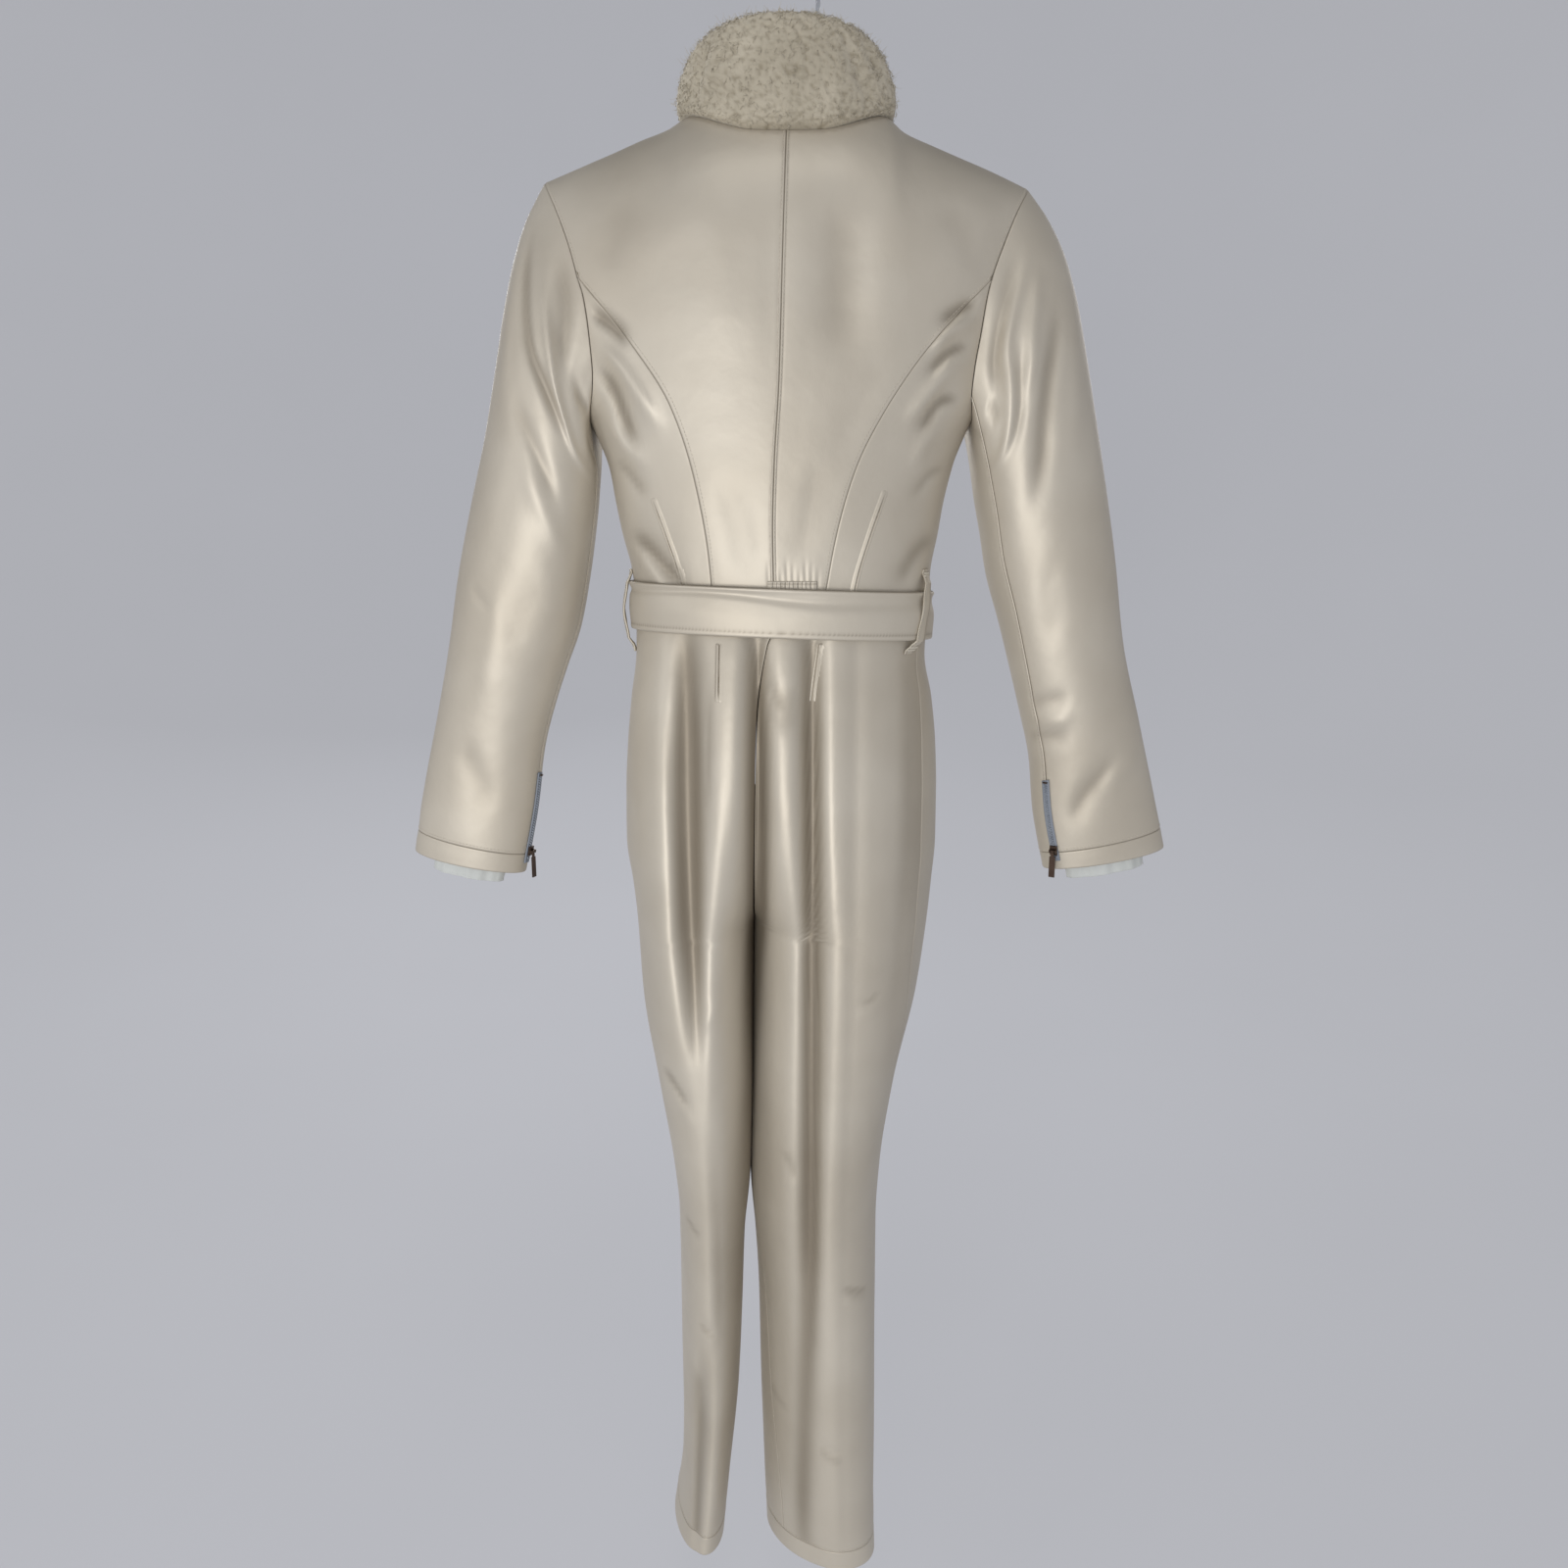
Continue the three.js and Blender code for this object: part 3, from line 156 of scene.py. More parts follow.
def turnOutwards(obj):
    # Recalculates the normals of a closed surface whose doubles are merged.
    shape = bmesh.new()
    shape.from_mesh(obj.data)
    bmesh.ops.remove_doubles(shape, verts=shape.verts, dist=0.000002)
    bmesh.ops.recalc_face_normals(shape, faces=shape.faces)
    shape.to_mesh(obj.data)
    shape.free()


def dress(obj, nodes, bodyOf="garment"):
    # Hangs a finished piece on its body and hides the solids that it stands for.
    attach(obj, bodyOf)
    if nodes:
        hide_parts(*nodes)
    return obj


def lengthsAlong(points):
    # Each point's distance from the first one, measured along their line
    return np.concatenate([[0], np.cumsum(np.linalg.norm(np.diff(points, axis=0), axis=1))])


def lengthsOnGrid(points, way):
    # Each grid point's distance from its own line's start, down the rows (0) or across them (1)
    steps = np.cumsum(np.linalg.norm(np.diff(points, axis=way), axis=-1), way)
    return np.concatenate([np.zeros_like(steps.take([0], way)), steps], way)


def readAlong(at, lengths, values):
    return np.stack([np.interp(at, lengths, column) for column in values.T], -1)


# Curves and tables

def curveThrough(keys, values):
    # Cubic Hermite pieces whose inner tangent is the harmonic mean 2ab / (a + b) of the two slopes
    # beside it, and zero where they differ in sign, so the curve never overshoots its rows.
    keys, values = np.array(keys, float), np.array(values, float)
    slope = np.diff(values) / np.diff(keys)
    product = slope[:-1] * slope[1:]
    total = np.where(product > 0, slope[:-1] + slope[1:], 1)
    inner = np.where(product > 0, 2 * product / total, 0)
    tangent = np.concatenate([slope[:1], inner, slope[-1:]])

    def at(x):
        x = np.clip(x, keys[0], keys[-1])
        i = np.clip(np.searchsorted(keys, x, side="right") - 1, 0, len(keys) - 2)
        span = keys[i + 1] - keys[i]
        t = (x - keys[i]) / span
        leave = t * (1 - t) ** 2 * span * tangent[i]
        arrive = t * t * (t - 1) * span * tangent[i + 1]
        return values[i] + (values[i + 1] - values[i]) * t * t * (3 - 2 * t) + leave + arrive
    return at


def table(columns, rows):
    rows = np.array(rows, float)
    return {name: curveThrough(rows[:, 0], rows[:, k + 1]) for k, name in enumerate(columns[1:])}


def seamThrough(points):
    # A curve through [across, drop] points, read at a share of its length
    points = np.array(points, float)
    lengths = lengthsAlong(points)
    across, drop = (curveThrough(lengths / lengths[-1], points[:, k]) for k in (0, 1))
    return lambda share: (across(share), drop(share))


bodice = table(
    ["drop", "middle", "half", "back", "front"],
    [
        [100, 0, 232, 60, 58],
        [134, 0, 230, 70, 66],
        [172, 0, 222, 76, 76],
        [229, -2, 204, 79, 86],
        [285, -4, 191, 80.2, 90.6],
        [330, -5, 178.5, 80.1, 89.6],
        [345, -5, 171.5, 79.9, 88.6],
        [354, -5, 167, 79.8, 87.8],
        [372, -5, 159, 79.5, 86],
        [391, -5, 152, 79.1, 83.8],
        [423, -6, 145.5, 77.8, 80.2],
        [449, -5.5, 141, 75.8, 77],
        [480, -4.5, 134.5, 72.8, 73.3],
        [497, -4, 133, 71.6, 72],
        [519, -4, 132, 71, 71],
    ],
)
ridge = table(
    ["reach", "left", "right"],
    [
        [0, 100, 100],
        [60, 105, 105],
        [84, 111, 111],
        [98, 119.5, 122],
        [122, 128.5, 132],
        [145, 138, 141],
        [170, 147.5, 150.5],
        [204, 160, 165],
        [240, 174, 182],
    ],
)
armhole = table(
    ["drop", "left", "right"],
    [
        [160, 204, 206],
        [165, 201.5, 204],
        [190, 190, 191],
        [219, 179, 178.5],
        [244, 172, 169.5],
        [259, 167.5, 166],
        [287, 164, 162],
        [315, 162.5, 158],
        [332, 164, 157],
        [345, 168, 159],
        [354, 172, 162],
    ],
)
princess = dict(
    left=[[172.3, 243], [128, 297], [95.7, 347], [77, 404], [66.2, 465], [62, 519]],
    right=[[169.2, 245], [119.5, 297], [80, 353], [57.7, 397], [42.5, 449], [30, 519]],
)
neckBack = [[0, 134.5], [30, 133], [50, 127], [72, 116.5], [84, 111]]
neckFront = [[4.3, 152], [30, 148], [55, 137], [74, 122], [84, 111]]
centreBack = curveThrough([134, 229, 328, 394, 449, 519], [0, -3, -6, -10, -11.5, -10])

# Creases of the bodice: points as across and drop, half width on each side, and depth, ridges out
bodiceCreases = [
    [[(-166, 268), (-146, 281), (-126, 300)], 4.8, 7.2, -6.1],
    [[(-168, 292), (-142, 310), (-118, 344), (-100, 372)], 6.4, 6.4, 6.1],
    [[(-166, 308), (-147, 328), (-134, 362), (-124, 388)], 5.6, 6.4, -7.4],
    [[(-158, 350), (-138, 378), (-112, 398)], 5.6, 7.2, 4.4],
    [[(-154, 384), (-136, 398), (-116, 424)], 4.8, 5.6, -4],
    [[(-142, 442), (-118, 462), (-88, 500)], 7.2, 8, -6.1],
    [[(-138, 462), (-118, 480), (-96, 506)], 5.6, 5.6, 5.1],
    [[(-104, 470), (-92, 490), (-84, 512)], 4, 4, -2.8],
    [[(162, 262), (146, 268), (122, 284)], 5.6, 4.8, -6.1],
    [[(160, 280), (142, 284), (116, 306)], 4.8, 4.8, 5.4],
    [[(158, 296), (140, 300), (112, 326)], 4.8, 4.8, -5.8],
    [[(156, 316), (138, 318), (112, 346), (96, 364)], 6.4, 5.6, 5.4],
    [[(152, 338), (132, 340), (108, 372)], 5.6, 4.8, -6.1],
    [[(148, 366), (128, 366), (104, 398)], 5.6, 5.6, 4.4],
    [[(142, 392), (124, 398), (104, 424)], 4.8, 4.8, -3.4],
    [[(136, 446), (114, 462), (92, 500)], 8, 7.2, -4.4],
    [[(30, 168), (41, 200), (44, 290), (38, 322)], 20, 24, -3.4],
    [[(-118, 178), (-140, 224), (-150, 252)], 18, 14, -2],
    [[(122, 180), (146, 226), (158, 258)], 14, 18, -2],
    [[(-66, 150), (-58, 230), (-50, 330)], 26, 22, 1.2],
    [[(84, 160), (80, 240), (66, 330)], 22, 26, 1.4],
    [[(-58, 396), (-40, 440), (-30, 492)], 14, 12, -1.6],
    [[(26, 380), (22, 430), (8, 488)], 12, 16, -1.4],
]
# small gathers above the elastic tab, 5.2 mm apart
for k, across in enumerate(np.arange(-15, 28, 5.2)):
    gather = [(across - 1, 470 + 5 * (k % 3)), (across, 484), (across + 0.5, 500)]
    bodiceCreases.append([gather, 1.7, 1.7, -0.5])
# The fronts, which the photograph hides, hang in like ways.
bodiceFrontCreases = [
    [[(-162, 290), (-138, 306), (-108, 346)], 8, 8, 3.2],
    [[(-160, 312), (-134, 334), (-108, 380)], 7, 8, -3.8],
    [[(-150, 352), (-122, 378), (-92, 404)], 8, 8, 2.4],
    [[(158, 284), (134, 298), (104, 336)], 7, 7, -3.4],
    [[(156, 306), (130, 322), (98, 366)], 8, 8, 3],
    [[(148, 344), (118, 370), (86, 412)], 7, 8, -3],
    [[(-60, 180), (-48, 250), (-34, 330)], 22, 18, -2.4],
    [[(66, 188), (58, 262), (40, 350)], 18, 22, -2],
    [[(-110, 440), (-84, 462), (-60, 500)], 9, 9, -2.4],
    [[(104, 430), (86, 462), (70, 502)], 10, 8, -2.2],
]


def creaseDepth(creases, across, drop):
    # A crease is a smooth line through its points, with the half width on its left and right and
    # its depth: depth * exp(-(off / half)^2), eased to nothing along a third of it at each end.
    total = np.zeros(np.broadcast(across, drop).shape)
    for points, left, right, depth in creases:
        line = np.stack(seamThrough(points)(np.linspace(0, 1, 3 * len(points))), -1)
        length, nearest = 0, np.full(total.shape, np.inf)
        off, along = np.zeros(total.shape), np.zeros(total.shape)
        for (ax, ad), (sx, sd) in zip(line, np.diff(line, axis=0)):
            run = math.hypot(sx, sd)
            t = np.clip(((across - ax) * sx + (drop - ad) * sd) / run ** 2, 0, 1)
            gap = np.hypot(across - ax - t * sx, drop - ad - t * sd)
            closer = gap < nearest
            turn = np.sign(sx * (drop - ad) - sd * (across - ax))
            off, along = np.where(closer, gap * turn, off), np.where(closer, length + t * run, along)
            nearest = np.minimum(gap, nearest)
            length += run
        ease = smoothStep(np.minimum(along, length - along) / (length / 3))
        total += depth * np.exp(-((off / np.where(off > 0, left, right)) ** 2)) * ease
    return total


def drapeLines(rows):
    # From left to right, the path of each ridge or valley as [drop, across, height] points
    return [tuple(curveThrough(*np.array(line, float)[:, [0, k]].T) for k in (1, 2)) for line in rows]


def drapeHeight(lines, across, drop):
    # Between a crest and the valley beside it the height falls by smoothStep(t^1.5), t being the
    # share of the way from the crest, so crests are broad and flat and valleys narrower.
    places = [(at(drop), high(drop)) for at, high in lines]
    total = np.where(across <= places[0][0], places[0][1], places[-1][1])
    for (x0, h0), (x1, h1) in zip(places, places[1:]):
        t = np.clip((across - x0) / np.maximum(x1 - x0, 0.5), 0, 1)
        fall = np.where(h0 > h1, smoothStep(t ** 1.5), 1 - smoothStep((1 - t) ** 1.5))
        total = np.where((t > 0) & (across <= x1), mix(h0, h1, fall), total)
    return np.where(total < 0, total * 1.25, total)


# The depth at which a hollow has its full painted shade, and that shade
hollows = dict(bodice=(7.5, 0.6), drape=(15, 0.74), fine=(3, 0.4), sleeve=(5, 0.42))


def hollowShade(depth, full, most):
    # How much painted shade a valley gets for the shade of its own sides: from 0 at its rim to most where it
    # is full deep
    return most * smoothStep(-depth / full)


def bodiceAngle(across, drop):
    share = (across - bodice["middle"](drop)) / bodice["half"](drop)
    grown = np.minimum(np.abs(share), 1) ** (body["sectionPower"] / 2)
    return np.sign(share) * np.arcsin(grown)


def bodicePoint(angle, drop, way):
    # x = middle + half * sin^(2/p), y = depth * arch * cos^(2/p): a superellipse of power p whose
    # depth closes to the shoulder ridge as a circle does.
    power = 2 / body["sectionPower"]
    reach = np.abs(np.sin(angle)) ** power
    across = bodice["middle"](drop) + bodice["half"](drop) * np.sign(angle) * reach
    side = np.where(across < 0, ridge["left"](np.abs(across)), ridge["right"](np.abs(across)))
    below = np.clip((drop - side) / body["shoulderRise"], 0, 1)
    arch = np.sqrt(1 - (1 - below) ** 2)
    depth = bodice["back" if way < 0 else "front"](drop)
    depth = depth + creaseDepth(bodiceCreases if way < 0 else bodiceFrontCreases, across, drop)
    y = way * depth * arch * np.maximum(np.cos(angle), 0) ** power
    return np.stack([across, y, -drop], -1)


def armPlace(side, way, share):
    # The armhole from the shoulder tip (0) to the armpit (1), in angle and drop
    sign = sideSign[side]
    drop = mix(body["shoulderTip"][side], body["armpit"], (1 - np.cos(share * np.pi)) / 2)
    scoop = body["scoop"] * np.sin(share * np.pi) ** 2 if way > 0 else 0
    angle = bodiceAngle(sign * (armhole[side](drop) - scoop), drop)
    return np.where(share >= 1, sign * np.pi / 2, angle), drop


def coons(top, bottom, first, last):
    # P(u, v) = (1-v) top + v bottom + (1-u) first + u last - the blend of the four corners
    corner = [[np.array(edge(np.array(float(t)))) for t in (0, 1)] for edge in (top, bottom)]

    def at(u, v):
        t, b, f, l = (np.stack(e, 0) for e in (top(u), bottom(u), first(v), last(v)))
        shaped = [[c[:, None, None] if np.ndim(u) == 2 else c[:, None] for c in pair] for pair in corner]
        corners = mix(mix(*shaped[0], u), mix(*shaped[1], u), v)
        return mix(t, b, v) + mix(f, l, u) - corners
    return at


def piecewise(joint, before, after):
    # Reads one edge before the joint and another after it, each over its own 0 to 1.
    def at(t):
        low, high = before(np.clip(t / joint, 0, 1)), after(np.clip((t - joint) / (1 - joint), 0, 1))
        return tuple(np.where(t < joint, a, b) for a, b in zip(low, high))
    return at


def toAngle(side, edge):
    def at(t):
        across, drop = edge(t)
        return bodiceAngle(sideSign[side] * across, drop), drop
    return at


def matchedLine(outer, way, lineAt, topDrop):
    # Places down a line, spaced as the outer edge's own lengths are
    t = np.linspace(0, 1, 200)
    points = bodicePoint(*outer(t), way)
    share = lengthsAlong(points)
    share = share / share[-1]

    def at(v):
        drop = mix(topDrop, body["waist"], np.interp(v, t, share))
        return lineAt(drop), drop
    return at


def bodicePanels(side):
    sign = sideSign[side]
    tipReach = armhole[side](body["shoulderTip"][side])

    def topEdge(neck):
        def shoulder(t):
            reach = mix(body["neckPoint"], tipReach, t)
            return bodiceAngle(sign * reach, ridge[side](reach)), ridge[side](reach)
        return piecewise(3 / 7, toAngle(side, seamThrough(neck)), shoulder)

    def waistEdge(a, b):
        return lambda u: (mix(a, b, u), np.full(np.shape(u), float(body["waist"])))

    seam = toAngle(side, seamThrough(princess[side]))
    sideEdge = lambda t: (np.full(np.shape(t), sign * np.pi / 2), mix(body["armpit"], body["waist"], t))
    junction = 4 / 9
    armTop = lambda t: armPlace(side, -1, t * junction)
    armLow = lambda t: armPlace(side, -1, mix(junction, 1, t))
    backOuter = piecewise(4 / 15, armTop, seam)
    backLine = lambda drop: bodiceAngle(centreBack(drop), drop)
    inner = matchedLine(backOuter, -1, backLine, neckBack[0][1])
    waistSeam = float(seam(np.array(1.0))[0])
    neckTop = topEdge(neckBack)

    def backTop(u):
        angle, drop = neckTop(u)
        start = float(backLine(np.array(neckBack[0][1])))
        return angle + start * np.clip(1 - u * 7, 0, 1), drop

    waistMiddle = float(backLine(np.array(float(body["waist"]))))
    back = coons(backTop, waistEdge(waistMiddle, waistSeam), inner, backOuter)
    sideOuter = piecewise(5 / 11, armLow, sideEdge)
    tip = lambda u: tuple(np.full(np.shape(u), float(c)) for c in seam(np.array(0.0)))
    sideBack = coons(tip, waistEdge(waistSeam, sign * np.pi / 2), seam, sideOuter)

    arm = lambda t: armPlace(side, 1, t)
    frontOuter = piecewise(9 / 15, arm, sideEdge)
    frontLine = lambda drop: bodiceAngle(bodice["middle"](drop) + sign * body["zipEdge"], drop)
    frontInner = matchedLine(frontOuter, 1, frontLine, neckFront[0][1])
    start = float(frontLine(np.array(float(body["waist"]))))
    front = coons(topEdge(neckFront), waistEdge(start, sign * np.pi / 2), frontInner, frontOuter)
    return [
        (f"back_{side}", lambda u, v: bodicePoint(*back(u, v), -1)),
        (f"side_back_{side}", lambda u, v: bodicePoint(*sideBack(u, v), -1)),
        (f"front_{side}", lambda u, v: bodicePoint(*front(u, v), 1)),
    ]


sleeveColumns = ["share", "outerX", "outerDrop", "innerX", "innerDrop", "depth", "middleY"]
sleeves = dict(
    left=table(sleeveColumns, [
        [0, 204, 160, 172, 354, 50, 0],
        [0.05, 221, 187, 170.5, 371, 52, 0],
        [0.12, 232, 217, 167, 397, 53, 0],
        [0.2, 241, 252, 168.5, 420, 53, 1],
        [0.3, 252, 304, 173.5, 455, 52, 2],
        [0.4, 265, 360, 180, 492, 50, 3],
        [0.5, 281, 420, 189.5, 534, 48, 4],
        [0.6, 296, 482, 202, 567, 44, 5],
        [0.7, 309, 545, 215, 603, 40, 6],
        [0.8, 324, 608, 227, 645, 35, 6],
        [0.9, 339, 670, 236, 700, 30, 6],
        [1, 355, 744, 250.5, 766, 26, 6],
    ]),
    right=table(sleeveColumns, [
        [0, 204, 165, 162, 354, 50, 0],
        [0.05, 222, 188, 162.5, 369, 52, 0],
        [0.12, 236, 214, 165, 392, 53, 0],
        [0.2, 248, 248, 169, 417, 53, 1],
        [0.3, 260, 295, 175.5, 447, 52, 2],
        [0.4, 271, 343, 182.5, 484, 50, 3],
        [0.5, 284, 405, 196, 529, 48, 4],
        [0.6, 298, 475, 207, 569, 44, 5],
        [0.7, 311, 550, 218.5, 613, 40, 6],
        [0.8, 329, 617, 228.5, 655, 35, 6],
        [0.9, 344, 672, 234, 704, 30, 6],
        [1, 361.5, 741, 247, 762, 26, 6],
    ]),
)
# Creases of each sleeve: points as the angle round from the outer edge over the back and the
# share along it, then the half widths in degrees and the depth. frontCreases are the hidden side's.
sleeveCreases = dict(
    left=[
        [[(8, 0.03), (30, 0.11), (42, 0.25), (48, 0.36)], 9, 10, 3.2],
        [[(32, 0.01), (53, 0.12), (78, 0.18), (108, 0.18), (140, 0.16)], 8, 7, -4.6],
        [[(53, 0.03), (73, 0.08), (102, 0.15), (126, 0.175), (166, 0.13)], 7, 7, 4.4],
        [[(57, 0.01), (86, 0.035), (102, 0.12)], 8, 8, -3.6],
        [[(112, 0.09), (150, 0.025)], 5, 6, -3.2],
        [[(140, 0.08), (172, 0.11)], 5, 5, -3.4],
        [[(56, 0.285), (90, 0.30), (124, 0.33)], 10, 12, -2.8],
        [[(72, 0.35), (104, 0.37), (140, 0.4)], 12, 12, 1.8],
        [[(48, 0.59), (62, 0.6), (78, 0.602)], 3, 4, -1.2],
        [[(120, 0.45), (104, 0.55), (96, 0.66)], 16, 14, -1.4],
        [[(70, 0.52), (84, 0.64), (84, 0.78)], 14, 16, 1.6],
        [[(60, 0.82), (84, 0.86), (112, 0.93)], 12, 12, -1.8],
    ],
    right=[
        [[(51, 0.02), (80, 0.037), (108, 0.05), (116, 0.13)], 6, 7, -3.8],
        [[(52, 0.03), (99, 0.07), (112, 0.15), (127, 0.195), (150, 0.155)], 7, 6, 4.2],
        [[(90, 0.09), (99, 0.147), (116, 0.24)], 6, 6, -2.8],
        [[(52, 0.07), (78, 0.12), (95, 0.2)], 8, 8, 3.2],
        [[(50, 0.12), (62, 0.17), (84, 0.25), (104, 0.42)], 11, 12, -4.4],
        [[(16, 0.15), (40, 0.25), (66, 0.45)], 14, 14, 2.6],
        [[(128, 0.07), (123, 0.14)], 4, 4, -3],
        [[(165, 0.015), (139, 0.12)], 4, 4, -2.6],
        [[(172, 0.36), (168, 0.57), (172, 0.74)], 7, 6, 2.2],
        [[(156, 0.675), (130, 0.69), (100, 0.715)], 6, 8, -2.6],
        [[(160, 0.71), (132, 0.73), (100, 0.745)], 6, 6, 2.2],
        [[(170, 0.745), (140, 0.755), (106, 0.775)], 6, 8, -2.8],
        [[(58, 0.835), (97, 0.878), (126, 0.945)], 9, 9, -2.8],
        [[(32, 0.85), (60, 0.86), (92, 0.88)], 8, 8, 2.2],
        [[(96, 0.46), (110, 0.54), (112, 0.63)], 16, 14, -1.6],
    ],
)
frontCreases = [
    [[(300, 0.03), (262, 0.14), (240, 0.34)], 13, 11, 3.6],
    [[(276, 0.02), (240, 0.1), (214, 0.2)], 8, 9, -4],
    [[(324, 0.05), (306, 0.22), (296, 0.44)], 13, 12, -2.8],
    [[(226, 0.34), (258, 0.38), (292, 0.42)], 11, 11, -2.6],
    [[(222, 0.62), (250, 0.66), (276, 0.67)], 8, 9, -2.2],
    [[(216, 0.72), (244, 0.75), (278, 0.78)], 9, 8, 2],
    [[(300, 0.82), (262, 0.88), (238, 0.94)], 10, 10, -2.4],
]
sleeveShape = dict(foldScale=430, headFade=0.24, hemHeight=19, run=690, zipAngle=dict(left=2.95, right=2.5))


def sleeveFold(side, share, angle):
    # The creases with their shares along the sleeve scaled up to suit their widths in degrees
    scale = sleeveShape["foldScale"]
    both = sleeveCreases[side] + frontCreases
    creases = [[[(a, s * scale) for a, s in line], *rest] for line, *rest in both]
    return creaseDepth(creases, np.degrees(np.mod(angle, 2 * np.pi)), share * scale)


def sleeveEllipse(side, share, angle):
    # An ellipse between the sleeve's outer and inner edge: the far share is (1 - cos a) / 2.
    ring, sign = sleeves[side], sideSign[side]
    along = (1 - np.cos(angle)) / 2
    depth = ring["depth"](share) + sleeveFold(side, share, angle)
    return np.stack(np.broadcast_arrays(
        sign * mix(ring["outerX"](share), ring["innerX"](share), along),
        ring["middleY"](share) - depth * np.sin(angle),
        -mix(ring["outerDrop"](share), ring["innerDrop"](share), along),
    ), -1)


def sleevePoint(side, share, angle):
    # The armhole's own loop, whose difference from the first ring fades out down the sleeve
    turn = np.mod(angle, 2 * np.pi)
    onBack = turn <= np.pi
    back = bodicePoint(*armPlace(side, -1, np.clip(turn / np.pi, 0, 1)), -1)
    front = bodicePoint(*armPlace(side, 1, np.clip(2 - turn / np.pi, 0, 1)), 1)
    loop = np.where(onBack[..., None], back, front)
    keep = np.clip(1 - share / sleeveShape["headFade"], 0, 1) ** 2
    return sleeveEllipse(side, share, turn) + (loop - sleeveEllipse(side, 0 * share, turn)) * keep[..., None]


seat = table(
    ["drop", "middle", "past"],
    [
        [519, -4, 1],
        [545, -17, 0.98],
        [600, -25, 0.84],
        [640, -26.4, 0.7],
        [680, -27.3, 0.51],
        [720, -28.2, 0.33],
        [750, -29, 0.2],
        [775, -29.6, 0.105],
        [792, -30, 0.04],
        [800, -30, 0.012],
        [805, -30, 0],
        [900, -31, 0],
        [966, -33, 0],
        [1065, -35.5, 0],
    ],
)
legColumns = ["drop", "outer", "inner", "depth", "turn", "middleY"]
legs = dict(
    left=table(legColumns, [
        [519, 136, 0, 71, 0, 0],
        [555, 137, 0, 76, 0, 0],
        [595, 142.5, 0, 82, 0, 0],
        [637, 147, 0, 87, 0, 0],
        [680, 149.5, 0, 91, 0, 0],
        [727, 150, 0, 93, 0, 0],
        [769, 144.5, 0, 94, 0, 0],
        [805, 141, 30, 94, 0, 0],
        [875, 138, 32, 96, 1, 0],
        [966, 126, 34, 94, 2, 0],
        [1052, 114.5, 36.5, 90, 3, 0],
        [1114, 110, 40.5, 87, 4, 0],
        [1210, 108.5, 44, 84, 5, 0],
        [1304, 109, 49, 81, 6, 0],
        [1409, 111.5, 59, 78, 8, -5],
        [1485, 122, 65, 76, 9, -8],
    ]),
    right=table(legColumns, [
        [519, 128, 0, 71, 0, 0],
        [555, 127, 0, 76, 0, 0],
        [595, 134.5, 0, 82, 0, 0],
        [637, 139, 0, 87, 0, 0],
        [680, 140.5, 0, 91, 0, 0],
        [727, 140.5, 0, 93, 0, 0],
        [769, 137.5, 0, 94, 0, 0],
        [805, 134.5, 30, 94, 0, 0],
        [875, 126, 31, 93, 4, 0],
        [966, 106, 32, 89, 9, -2],
        [1052, 93, 34.5, 84, 14, -5],
        [1114, 89.5, 33, 80, 18, -8],
        [1210, 89.5, 28.5, 77, 23, -11],
        [1304, 90, 27, 74, 28, -14],
        [1409, 89.5, 23.5, 71, 34, -18],
        [1498, 93, 21, 70, 38, -20],
    ]),
)
legHem = dict(left=dict(drop=1484, tilt=0.28), right=dict(drop=1496, tilt=0.2), height=23, tiltStart=1000)
# The drape of the trousers' back, from its left outline to its right one
backDrape = drapeLines([
    [[519, -150, 0], [1500, -126, 0]],
    [[519, -120, 0.5], [556, -121, 4.5], [665, -122, 5.5], [775, -121, 5], [880, -108, 3.5],
     [966, -98, 1.5], [1052, -93, 3], [1166, -95, 3], [1300, -100, 1.5], [1410, -103, 1.5],
     [1500, -108, 0.5]],
    [[519, -86, -1], [556, -86, -8], [665, -86, -13], [775, -85, -12], [865, -82, -6],
     [930, -80, 0.5], [1052, -80, 3.5], [1166, -80, 3], [1240, -83, -1], [1320, -86, -5],
     [1420, -90, -5.5], [1500, -93, -0.5]],
    [[519, -50, 0.5], [556, -49, 4.5], [665, -49, 5.5], [775, -52, 5.5], [880, -60, 4.5],
     [966, -64, 3.5], [1052, -63, 0], [1166, -62, -2.5], [1300, -66, 1.5], [1410, -76, 2],
     [1500, -80, 0.5]],
    [[519, -26, -1], [556, -25, -7], [665, -24.5, -12], [775, -25, -13], [850, -30, -11],
     [966, -35, -6], [1100, -41, -4], [1300, -51, -2], [1500, -64, 0]],
    [[519, -2, 0.5], [556, -2, 3.5], [665, -1, 4.5], [775, -1, 5], [880, -4, 5], [966, -7, 5],
     [1100, -11, 4.5], [1300, -10, 3], [1410, -6, 2], [1500, -2, 0.5]],
    [[519, 22, -1], [556, 22, -7], [665, 22.5, -10.5], [880, 24, -10.5], [1100, 24, -9.5],
     [1200, 22, -7.5], [1300, 18, -6], [1410, 17, -6.5], [1500, 20, -1]],
    [[519, 44, 0.5], [556, 44, 4], [665, 43, 4.5], [775, 45, 4.5], [966, 46, 4], [1166, 43, 3.5],
     [1300, 44, 3], [1410, 46, 3.5], [1500, 48, 1]],
    [[519, 60, -0.2], [575, 60, 1.5], [665, 60, 2], [775, 60, 2], [966, 58, 2], [1166, 57, 1.6],
     [1500, 60, 0.5]],
    [[519, 80, 0.5], [575, 79, 4], [665, 78, 4.5], [775, 77, 3.5], [880, 72, 2.5], [1052, 67, 1.5],
     [1500, 72, 0]],
    [[519, 106, 0], [575, 108, -3], [700, 110, -4], [860, 102, -1.5], [1100, 89, 0], [1500, 92, 0]],
])
